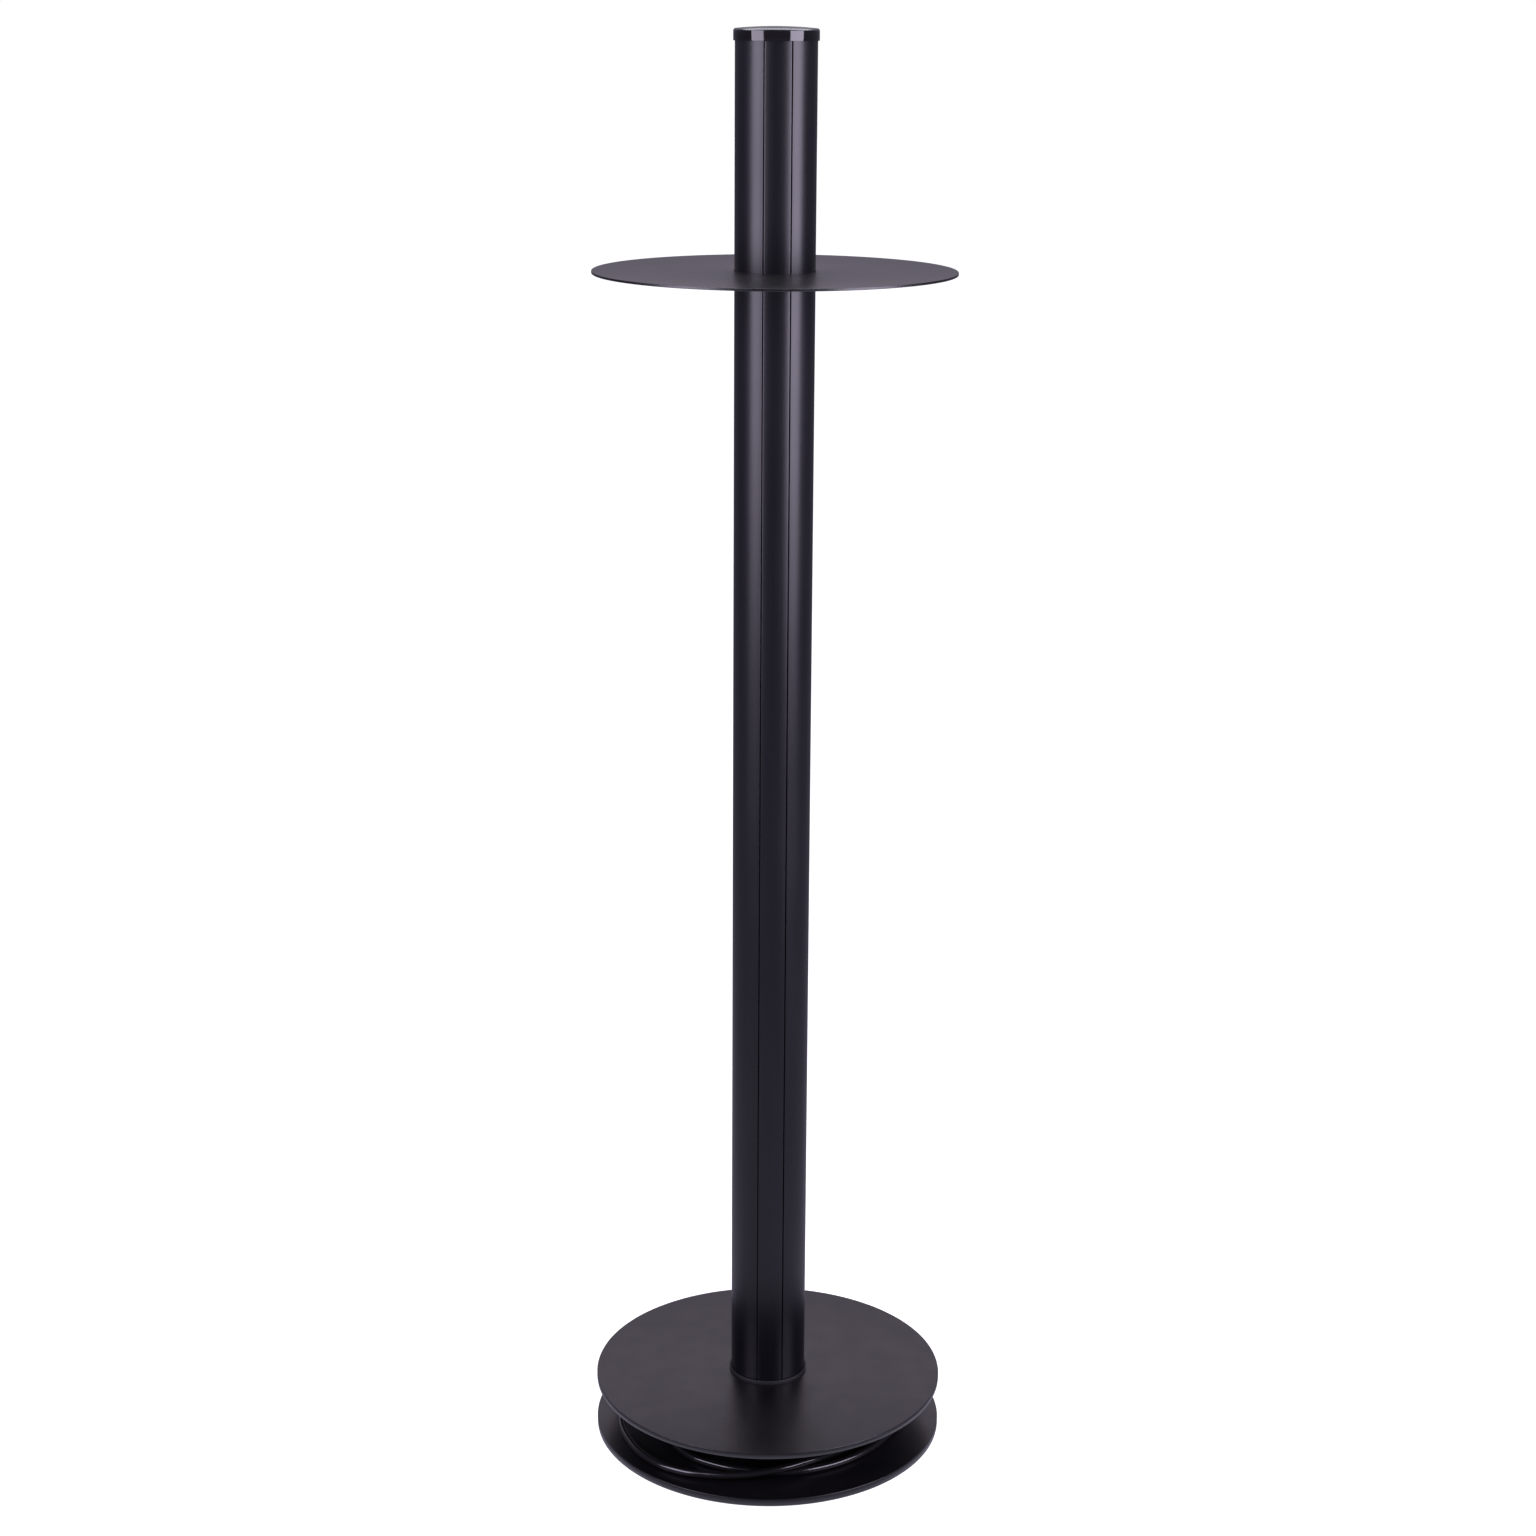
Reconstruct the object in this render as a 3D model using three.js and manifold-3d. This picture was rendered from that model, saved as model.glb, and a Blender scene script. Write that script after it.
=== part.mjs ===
// Free-standing round service column with a clamp-on shelf disc and a two-plate base that stores its lead.
// Millimetres, +Z up, origin on the floor under the column's axis, the cover strip's face towards -Y.
import * as THREE from "three";
import { mergeVertices } from "three/addons/utils/BufferGeometryUtils.js";
import Module from "manifold-3d";

const wasm = await Module();
wasm.setup();

// ---- driving dimensions -------------------------------------------------------------------------
const CLEAR = 0.3; // working clearance between neighbouring pieces
const ROUND = 72; // facets round the large discs and the column
const SMALL = 14; // facets round holes, screws and pins

const base = { r: 187.5, lower: 8, upper: 6, pad: 2, gap: 47, edge: 0.6 };
base.lowTop = base.pad + base.lower;
base.highBottom = base.lowTop + base.gap;
base.top = base.highBottom + base.upper;

const column = { r: 40, wall: 2.5, length: 1409.5 };
column.top = base.top + column.length;

const cap = { r: 41.6, side: 8.9, round: 2.7, crown: 1.8, under: 0.4, peg: 14 };
const foot = { r: 42, h: 3.5 };
const drum = { r: 98, wall: 14 };
const shelf = { r: 180, t: 2.5, top: 1255, bore: 40.5 };
const collar = { rIn: 41.6, r: 57, h: 8.5, split: 1.5 };

// channel openings in the extrusion, as half angles in degrees from the channel's own centre line
const front = { slot: 20.9, strip: 19.1, wallIn: 14.6, webY: 27 };
const rear = { slot: 40.5, strip: 39.8, wallIn: 26.6, webY: 0 };
const channelWall = 1.8;
const port = { r: 34, angle: 22, outer: 5, bore: 3.3 }; // screw ports inside the extrusion

const outlet = { z: 1365, h: 156, cheek: 4, faceY: 30, backY: 18, module: 44.7, pitch: 45, depth: 22 };
outlet.faceX = 30;
outlet.reach = 45; // past the column's skin, for cuts that open towards +Y
const socket = { r: 19.5, depth: 17.5, pinX: 9.5, pinR: 2.7 };
const terminal = { x: 15, depth: 13.2, z0: 1229, z1: 1265, well: 2.4, sink: 6 };
const lead = { r: 4, turnR: drum.r + CLEAR + 4, low: base.lowTop + CLEAR + 4 };
const plug = { angle: 28, r: 128, body: 18.5 };
const boot = { angle: 105, lean: 50, z: 46, end: 36, rIn: 6.2, rWall: 6.5, rEnd: 5.2 };

// ---- materials ----------------------------------------------------------------------------------
const finish = (color, roughness, metalness) =>
  new THREE.MeshStandardMaterial({ color, roughness, metalness });
const paint = finish(0x29272b, 0.55, 0.1);
const anodised = finish(0x1f1f27, 0.4, 0.6);
const gloss = finish(0x0e0e10, 0.12, 0);
const plastic = finish(0x17171a, 0.5, 0);
const rubber = finish(0x121212, 0.85, 0);
const zinc = finish(0xa9adb2, 0.35, 0.9);
const blackSteel = finish(0x1b1b1d, 0.4, 0.8);
const brass = finish(0xc9b27a, 0.3, 0.9);
const pvc = finish(0x0d0d0f, 0.28, 0);
const insulation = {
  live: finish(0x6b3f22, 0.5, 0),
  neutral: finish(0x2d5fa8, 0.5, 0),
  earth: finish(0x6fa03a, 0.5, 0),
};

// ---- shape helpers ------------------------------------------------------------------------------
const rad = THREE.MathUtils.degToRad;
const polar = (r, deg, z = 0) => new THREE.Vector3(r * Math.cos(rad(deg)), r * Math.sin(rad(deg)), z);

// a closed geometry as a solid for joining and cutting
function solid(geometry) {
  const bare = geometry.clone();
  bare.deleteAttribute("normal");
  bare.deleteAttribute("uv");
  const merged = mergeVertices(bare, 1e-4);
  const made = new wasm.Manifold(
    new wasm.Mesh({
      numProp: 3,
      vertProperties: merged.attributes.position.array,
      triVerts: new Uint32Array(merged.index.array),
    }),
  );
  return made;
}

function geometryOf(made) {
  const mesh = made.getMesh();
  const geometry = new THREE.BufferGeometry();
  geometry.setAttribute("position", new THREE.BufferAttribute(new Float32Array(mesh.vertProperties), 3));
  geometry.setIndex(new THREE.BufferAttribute(new Uint32Array(mesh.triVerts), 1));
  geometry.computeVertexNormals();
  return geometry;
}

const join = (parts) => parts.reduce((sum, part) => sum.add(part));
const cut = (body, tools) => tools.reduce((left, tool) => left.subtract(tool), body);

// turned piece about Z from a closed list of [radius, z]; a profile off the axis closes on itself
function turned(profile, facets = ROUND) {
  const points = profile.map(([r, z]) => new THREE.Vector2(r, z));
  if (points[0].x > 0) points.push(points[0].clone());
  return solid(new THREE.LatheGeometry(points, facets).rotateX(Math.PI / 2));
}

const cylinder = (r, z0, z1, at = [0, 0], facets = SMALL) =>
  turned([[0, z0], [r, z0], [r, z1], [0, z1]], facets).translate([at[0], at[1], 0]);

// flat disc or ring with small chamfers on its edges
function disc(rIn, rOut, z0, z1, edge, facets = ROUND) {
  const rim = edge
    ? [[rOut - edge, z0], [rOut, z0 + edge], [rOut, z1 - edge], [rOut - edge, z1]]
    : [[rOut, z0], [rOut, z1]];
  return rIn > 0
    ? turned([[rIn, z0], ...rim, [rIn, z1]], facets)
    : turned([[0, z0], ...rim, [0, z1]], facets);
}

function box(x0, x1, y0, y1, z0, z1) {
  const centre = [(x0 + x1) / 2, (y0 + y1) / 2, (z0 + z1) / 2];
  return solid(new THREE.BoxGeometry(x1 - x0, y1 - y0, z1 - z0)).translate(centre);
}

function prism(shape, z0, z1, curveSegments = 12) {
  const settings = { depth: z1 - z0, bevelEnabled: false, curveSegments };
  return solid(new THREE.ExtrudeGeometry(shape, settings)).translate([0, 0, z0]);
}

// part of a ring between two radii, centred on a direction in degrees
function arcShape(rIn, rOut, centre, half) {
  const shape = new THREE.Shape();
  shape.absarc(0, 0, rOut, rad(centre - half), rad(centre + half), false);
  shape.absarc(0, 0, rIn, rad(centre + half), rad(centre - half), true);
  shape.closePath();
  return shape;
}

// round cord along a smooth curve through points
function cord(points, r, steps, sides = 8) {
  const section = new THREE.Shape();
  section.absarc(0, 0, r, 0, 2 * Math.PI, false);
  const path = new THREE.CatmullRomCurve3(points, false, "centripetal");
  return solid(new THREE.ExtrudeGeometry(section, { steps, extrudePath: path, curveSegments: sides / 2 }));
}

// hexagon key recess as a tool
const hexKey = (r, z0, z1, at) => cylinder(r, z0, z1, at, 6);

// ---- the assembly -------------------------------------------------------------------------------
const rack = new THREE.Group();

function add(name, made, material, parent = rack) {
  const mesh = new THREE.Mesh(geometryOf(made), material);
  mesh.name = name;
  parent.add(mesh);
  return mesh;
}

const quarter = (index) => 45 + 90 * index;
const portPlaces = [port.angle, 180 - port.angle, 180 + port.angle, -port.angle].map((a) => {
  const p = polar(port.r, a);
  return [p.x, p.y];
});

// base: rubber pads, lower plate, drum, upper plate and the screws that hold them together
function buildBase() {
  const padR = 16;
  const padPlace = 165;
  const tieR = drum.r - drum.wall / 2;
  const tie = { shank: 3, head: 6, sink: 3.2, blind: base.highBottom + 4.5 };
  const tiePlaces = [0, 1, 2, 3].map((i) => {
    const p = polar(tieR, quarter(i));
    return [p.x, p.y];
  });

  for (let i = 0; i < 4; i++) {
    const p = polar(padPlace, quarter(i));
    const pad = turned([[0, 0], [padR - 0.5, 0], [padR, 0.5], [padR, base.pad], [0, base.pad]], 24);
    add(`floor_pad_${i + 1}`, pad.translate([p.x, p.y, 0]), rubber);
  }

  const lower = cut(
    disc(0, base.r, base.pad, base.lowTop, base.edge),
    tiePlaces.map((at) => {
      const sink = tie.sink + CLEAR;
      const profile = [
        [0, base.pad - 1],
        [tie.head + CLEAR, base.pad - 1],
        [tie.head + CLEAR, base.pad],
        [tie.shank + CLEAR, base.pad + sink],
        [tie.shank + CLEAR, base.lowTop + 1],
        [0, base.lowTop + 1],
      ];
      return turned(profile, SMALL).translate([...at, 0]);
    }),
  );
  add("lower_plate", lower, paint);

  const bootWay = cylinder(7, -30, 30).rotate([0, 90, 0]);
  const bootPlace = polar(tieR, boot.angle, boot.z);
  const ring = cut(disc(drum.r - drum.wall, drum.r, base.lowTop, base.highBottom, base.edge), [
    ...tiePlaces.map((at) => cylinder(tie.shank + CLEAR, base.lowTop - 1, base.highBottom + 1, at)),
    bootWay.rotate([0, 0, boot.angle + boot.lean]).translate([bootPlace.x, bootPlace.y, bootPlace.z]),
  ]);
  add("cable_drum", ring, plastic);

  const wireHole = { r: 14, x: 12, y: 21 };
  const upper = cut(disc(0, base.r, base.highBottom, base.top, base.edge), [
    cylinder(wireHole.r, base.highBottom - 1, base.top + 1, [wireHole.x, wireHole.y], 24),
    ...portPlaces.map((at) => cylinder(port.bore, base.highBottom - 1, base.top + 1, at)),
    ...tiePlaces.map((at) => cylinder(tie.shank + CLEAR, base.highBottom - 1, tie.blind, at)),
  ]);
  add("upper_plate", upper, paint);

  tiePlaces.forEach((at, i) => {
    const screw = turned(
      [
        [0, base.pad],
        [tie.head, base.pad],
        [tie.shank, base.pad + tie.sink],
        [tie.shank, tie.blind - CLEAR],
        [0, tie.blind - CLEAR],
      ],
      SMALL,
    ).translate([...at, 0]);
    add(`drum_screw_${i + 1}`, cut(screw, [hexKey(2.3, base.pad - 1, base.pad + 2.2, at)]), zinc);
  });

  const bolt = { head: 5, headH: 6, shank: 3, reach: 24 };
  portPlaces.forEach((at, i) => {
    const head = cylinder(bolt.head, base.highBottom - bolt.headH, base.highBottom, at);
    const shank = cylinder(bolt.shank, base.highBottom - 1, base.top + bolt.reach, at);
    const key = hexKey(2.9, base.highBottom - bolt.headH - 1, base.highBottom - 3, at);
    add(`column_bolt_${i + 1}`, cut(join([head, shank]), [key]), zinc);
  });
}

// column: extrusion with a narrow front channel and a wide rear channel, its covers, foot ring and cap
function channelWalls(channel, side, depth, z0, z1) {
  const outer = channel.wallIn + channelWall;
  const far = side * depth;
  const near = side * channel.webY;
  const web = near + side * channelWall;
  const [y0, y1] = [Math.min(near, far), Math.max(near, far)];
  return join([
    box(-outer, -channel.wallIn, y0, y1, z0, z1),
    box(channel.wallIn, outer, y0, y1, z0, z1),
    box(-outer, outer, Math.min(near, web), Math.max(near, web), z0, z1),
  ]);
}

function coverStrip(channel, centre, leg, z0, z1) {
  const side = Math.sign(centre);
  const skin = 2;
  const parts = [prism(arcShape(column.r - skin, column.r, centre, channel.strip), z0, z1, 24)];
  for (const x of [-1, 1]) {
    const edges = [x * leg.x0, x * leg.x1].sort((a, b) => a - b);
    const barb = [x * (leg.x1 - 0.2), x * leg.barbX].sort((a, b) => a - b);
    const span = [side * leg.root, side * leg.tip].sort((a, b) => a - b);
    const hook = [side * leg.barb, side * (leg.barb - 1.2)].sort((a, b) => a - b);
    parts.push(box(...edges, ...span, z0, z1), box(...barb, ...hook, z0, z1));
  }
  return join(parts);
}

function buildColumn() {
  const z0 = base.top;
  const z1 = column.top;
  const tube = disc(column.r - column.wall, column.r, z0, z1, 0);
  const walls = join([
    channelWalls(front, -1, 35.2, z0, z1),
    channelWalls(rear, 1, 27, z0, z1),
    ...portPlaces.map((at) => cylinder(port.outer, z0, z1, at)),
  ]);
  const slots = [
    prism(arcShape(36, 43, -90, front.slot), z0 - 1, z1 + 1),
    prism(arcShape(36, 43, 90, rear.slot), z0 - 1, z1 + 1),
    ...portPlaces.map((at) => cylinder(port.bore, z0 - 1, z1 + 1, at)),
  ];
  add("column_profile", cut(join([tube, walls]), slots), anodised);

  const frontLeg = { x0: 10.4, x1: 11.8, barbX: 14, root: 38.4, tip: 31, barb: 34.2 };
  const rearLeg = { x0: 21.4, x1: 22.8, barbX: 25.4, root: 31.6, tip: 24.5, barb: 27.2 };
  const outletTop = outlet.z + outlet.h / 2;
  const outletBottom = outlet.z - outlet.h / 2;
  add("front_cover_strip", coverStrip(front, -90, frontLeg, z0 + CLEAR, z1 - CLEAR), anodised);
  add("rear_cover_lower", coverStrip(rear, 90, rearLeg, z0 + CLEAR, outletBottom - CLEAR), anodised);
  add("rear_cover_upper", coverStrip(rear, 90, rearLeg, outletTop + CLEAR, z1 - CLEAR), anodised);

  add("foot_ring", disc(column.r + CLEAR, foot.r, z0, z0 + foot.h, 0), plastic);

  const lid = turned([[0, z1], [cap.r - cap.under, z1], [cap.r, z1 + cap.under], ...capTop(z1 + cap.side)]);
  const pegs = portPlaces.map((at) => cylinder(port.bore - CLEAR, z1 - cap.peg, z1 + 1, at));
  add("end_cap", join([lid, ...pegs]), gloss);
}

// outline of the cap above its straight side: a rounded shoulder that runs into a shallow crown
function capTop(z) {
  const shoulderR = cap.r - cap.round;
  const steps = 5;
  const sphereR = (shoulderR ** 2 + cap.crown ** 2) / (2 * cap.crown);
  const lean = Math.asin(shoulderR / (sphereR + cap.round));
  const points = [];
  for (let i = 0; i <= steps; i++) {
    const turn = (Math.PI / 2 - lean) * (i / steps);
    points.push([shoulderR + cap.round * Math.cos(turn), z + cap.round * Math.sin(turn)]);
  }
  const [edgeR, edgeZ] = points[steps];
  const sphereZ = edgeZ - Math.sqrt(sphereR ** 2 - edgeR ** 2);
  for (let i = steps - 1; i > 0; i--) {
    const r = (edgeR * i) / steps;
    points.push([r, sphereZ + Math.sqrt(sphereR ** 2 - r ** 2)]);
  }
  points.push([0, sphereZ + sphereR]);
  return points;
}

// outlets: frame in the rear channel, two earthed sockets, a charger module and their wiring
function buildOutlets() {
  const half = outlet.h / 2;
  const [z0, z1] = [outlet.z - half, outlet.z + half];
  const opening = { x: outlet.module / 2 + CLEAR, z: 1.5 * outlet.pitch + CLEAR };
  const screw = { z: half - outlet.cheek - 3.1, shank: 1.5, head: 2.7, headH: 1.6, tipY: 14 };
  const edge = outlet.reach;
  const body = join([
    prism(arcShape(28.2, column.r - 0.1, 90, rear.strip), z0, z1, 24),
    box(-opening.x - 1, opening.x + 1, outlet.backY, outlet.faceY, z0, z1),
  ]);
  const face = box(-outlet.faceX, outlet.faceX, outlet.faceY, edge, z0 + outlet.cheek, z1 - outlet.cheek);
  const window = box(-opening.x, opening.x, 10, edge, outlet.z - opening.z, outlet.z + opening.z);
  const across = (r, y0, y1, x, z) => cylinder(r, y0, y1).rotate([-90, 0, 0]).translate([x, 0, z]);
  const screwHoles = [-1, 1].map((s) => across(screw.shank + 0.2, 10, edge, 0, outlet.z + s * screw.z));
  add("outlet_frame", cut(body, [face, window, ...screwHoles]), plastic);
  [-1, 1].forEach((s, i) => {
    const z = outlet.z + s * screw.z;
    const head = across(screw.head, outlet.faceY, outlet.faceY + screw.headH, 0, z);
    const made = join([head, across(screw.shank, screw.tipY, outlet.faceY + 0.5, 0, z)]);
    add(`outlet_screw_${i + 1}`, made, blackSteel);
  });

  const m = outlet.module / 2;
  const back = outlet.faceY - outlet.depth;
  const floorY = outlet.faceY - socket.depth;
  const clip = { x: 2.5, z: 18, t: 0.5 };
  const moduleAt = (index) => outlet.z + (index - 1) * outlet.pitch;
  [["lower", 0], ["upper", 1]].forEach(([label, index]) => {
    const z = moduleAt(index);
    const made = cut(box(-m, m, back, outlet.faceY, z - m, z + m), [
      cylinder(socket.r, floorY, outlet.faceY + 1, [0, 0], 48).rotate([-90, 0, 0]).translate([0, 0, z]),
      ...[-1, 1].map((s) => across(socket.pinR, back + 1.5, floorY + 1, s * socket.pinX, z)),
      ...[-1, 1].map((s) => {
        const middle = z + s * clip.z;
        return box(-clip.x - CLEAR, clip.x + CLEAR, back - 1, floorY + 1, middle - 1, middle + 1);
      }),
    ]);
    add(`socket_${label}`, made, plastic);
    const strap = box(-clip.x, clip.x, back - 1.6, back - 0.4, z - clip.z - clip.t, z + clip.z + clip.t);
    const arms = [-1, 1].map((s) =>
      box(-clip.x, clip.x, back - 1, outlet.faceY - 4, z + s * clip.z - clip.t, z + s * clip.z + clip.t),
    );
    add(`earth_contact_${label}`, join([strap, ...arms]), brass);
  });

  const z = moduleAt(2);
  const wide = { at: z + 9, x: 6.4, z: 2.7, depth: 14, tongueX: 5.6, tongueZ: 1.9 };
  const round = { at: z - 9, x: 4.6, z: 1.7, depth: 9 };
  const mouth = (p) => box(-p.x, p.x, outlet.faceY - p.depth, outlet.faceY + 1, p.at - p.z, p.at + p.z);
  const charger = cut(box(-m, m, back, outlet.faceY, z - m, z + m), [mouth(wide), mouth(round)]);
  const tongueY = [outlet.faceY - wide.depth - 1, outlet.faceY - 2];
  const tongue = box(-wide.tongueX, wide.tongueX, ...tongueY, wide.at, wide.at + wide.tongueZ);
  add("charger_module", join([charger, tongue]), plastic);

  const blockY = rear.webY + channelWall + CLEAR;
  const blockFace = blockY + terminal.depth - CLEAR;
  const blockZ = (terminal.z0 + terminal.z1) / 2;
  const well = (x) => across(terminal.well, blockFace - terminal.sink, blockFace + 1, x, blockZ);
  const wells = [-1, 0, 1].map((s) => well(s * socket.pinX));
  const blank = box(-terminal.x, terminal.x, blockY, blockFace, terminal.z0, terminal.z1);
  add("terminal_block", cut(blank, wells), plastic);

  const wireR = 1.4;
  const wires = [["live", -1, 4.6], ["earth", 0, 3.8], ["neutral", 1, 4.6]];
  for (const [label, side, y] of wires) {
    const x = side * (socket.pinX + 2);
    const top = moduleAt(1);
    const end = label === "earth" ? back - 1.6 - CLEAR : back - CLEAR;
    const run = join([
      cylinder(wireR, terminal.z1 + CLEAR, top, [x, y], 8),
      cylinder(wireR, y, end, [0, 0], 8).rotate([-90, 0, 0]).translate([x, 0, top]),
    ]);
    add(`${label}_conductor`, run, insulation[label]);
  }
}

// shelf: thin disc with welded studs, clamped to the column by a two-part collar on a plastic liner
function buildShelf() {
  const under = shelf.top - shelf.t;
  const stud = { r: 2, place: 51.5, length: 12 };
  const studAngles = [45, 135, 225, 315];
  const studs = studAngles.map((a) => polar(stud.place, a)).map((p) => [p.x, p.y]);
  const group = new THREE.Group();
  rack.add(group);

  const plate = disc(shelf.bore, shelf.r, under, shelf.top, 0.3);
  const pins = studs.map((at) => cylinder(stud.r, under - stud.length, under + 0.5, at));
  add("shelf_disc", join([plate, ...pins]), paint, group);

  const z0 = under - collar.h;
  const screwX = 49.3;
  const mid = (z0 + under) / 2;
  const along = (r, y0, y1, x) => cylinder(r, y0, y1).rotate([-90, 0, 0]).translate([x, 0, mid]);
  const ring = disc(collar.rIn, collar.r, z0, under, 0.5);
  const holes = [
    ...studs.map((at) => cylinder(stud.r + CLEAR, z0 - 1, under + 1, at)),
    ...[-1, 1].flatMap((s) => [along(2.3, -40, 17, s * screwX), along(3.9, -60, -11.5, s * screwX)]),
  ];
  const collarBody = cut(ring, holes);
  const away = collar.split / 2;
  add("collar_front", cut(collarBody, [box(-70, 70, -away, 70, z0 - 1, under + 1)]), blackSteel, group);
  add("collar_rear", cut(collarBody, [box(-70, 70, -70, away, z0 - 1, under + 1)]), blackSteel, group);
  [-1, 1].forEach((s, i) => {
    const screw = join([along(3.5, -15.5, -11.5, s * screwX), along(2, -12, 16, s * screwX)]);
    const key = cylinder(1.7, -17, -13.4, [0, 0], 6).rotate([-90, 0, 0]).translate([s * screwX, 0, mid]);
    add(`collar_screw_${i + 1}`, cut(screw, [key]), zinc, group);
  });
  studs.forEach((at, i) => {
    const nut = cylinder(4, z0 - 3.2, z0, at, 6);
    add(`shelf_nut_${i + 1}`, cut(nut, [cylinder(stud.r + CLEAR, z0 - 4, z0 + 1, at)]), zinc, group);
  });
  add("collar_liner", disc(column.r + 0.35, collar.rIn - CLEAR, z0 + 0.2, under - 0.2, 0), plastic, group);
}

// supply cable from the terminals down through the column and the drum to the boot in the drum's wall
const bootDirection = polar(1, boot.angle + boot.lean);
const bootStart = polar(drum.r - drum.wall / 2, boot.angle, boot.z);
const alongBoot = (s, z = boot.z) => bootStart.clone().addScaledVector(bootDirection, s).setZ(z);

function buildSupply() {
  const runY = 9;
  const points = [
    alongBoot(2),
    alongBoot(-24),
    alongBoot(-40),
    alongBoot(-53),
    new THREE.Vector3(32, 59.5, 46),
    new THREE.Vector3(34.5, 48, 46),
    new THREE.Vector3(31, 37, 46),
    new THREE.Vector3(24.5, 29, 47.5),
    new THREE.Vector3(17, 21.5, 54),
    new THREE.Vector3(9, 15, 64),
    new THREE.Vector3(2.5, 11, 77),
    new THREE.Vector3(0, runY, 92),
    new THREE.Vector3(0, runY, 110),
  ];
  const bend = cord(points, lead.r, 24);
  const riser = cylinder(lead.r, 109, terminal.z0 - CLEAR, [0, runY], 8);
  add("supply_cable", join([bend, riser]), pvc);

  // clamp block that takes the pull of the lead, screwed up under the upper plate
  const clamp = { along: 6, across: 10.5, z0: 39, screw: 7.6, at: -44 };
  const centre = alongBoot(clamp.at, 0);
  const turn = boot.angle + boot.lean;
  const top = base.highBottom - CLEAR;
  const block = box(-clamp.along, clamp.along, -clamp.across, clamp.across, clamp.z0, top);
  const bore = cylinder(lead.r + CLEAR + 0.1, -20, 20).rotate([0, 90, 0]).translate([0, 0, boot.z]);
  const ways = [-1, 1].map((s) => cylinder(1.5 + CLEAR, 30, 60, [0, s * clamp.screw]));
  const placed = (made) => made.rotate([0, 0, turn]).translate([centre.x, centre.y, 0]);
  add("cord_clamp", placed(cut(block, [bore, ...ways])), plastic);
  [-1, 1].forEach((s, i) => {
    const at = [0, s * clamp.screw];
    const screw = join([
      cylinder(2.8, clamp.z0 - 2, clamp.z0 - 0.1, at),
      cylinder(1.5, clamp.z0 - 1, top, at),
    ]);
    add(`clamp_screw_${i + 1}`, placed(screw), zinc);
  });

  // boot: a tapered sleeve through the drum's wall that the lead bends in
  const wallHalf = drum.wall / 2 / Math.cos(rad(boot.lean)) + 4;
  const sleeve = lead.r + CLEAR;
  const profile = [
    [sleeve, -wallHalf],
    [boot.rIn, -wallHalf],
    [boot.rWall, wallHalf],
    [boot.rEnd, boot.end],
    [sleeve, boot.end],
  ];
  const sleeveSolid = turned(profile, SMALL).rotate([0, 90, 0]).rotate([0, 0, turn]);
  add("cable_boot", sleeveSolid.translate([bootStart.x, bootStart.y, boot.z]), rubber);
}

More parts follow.
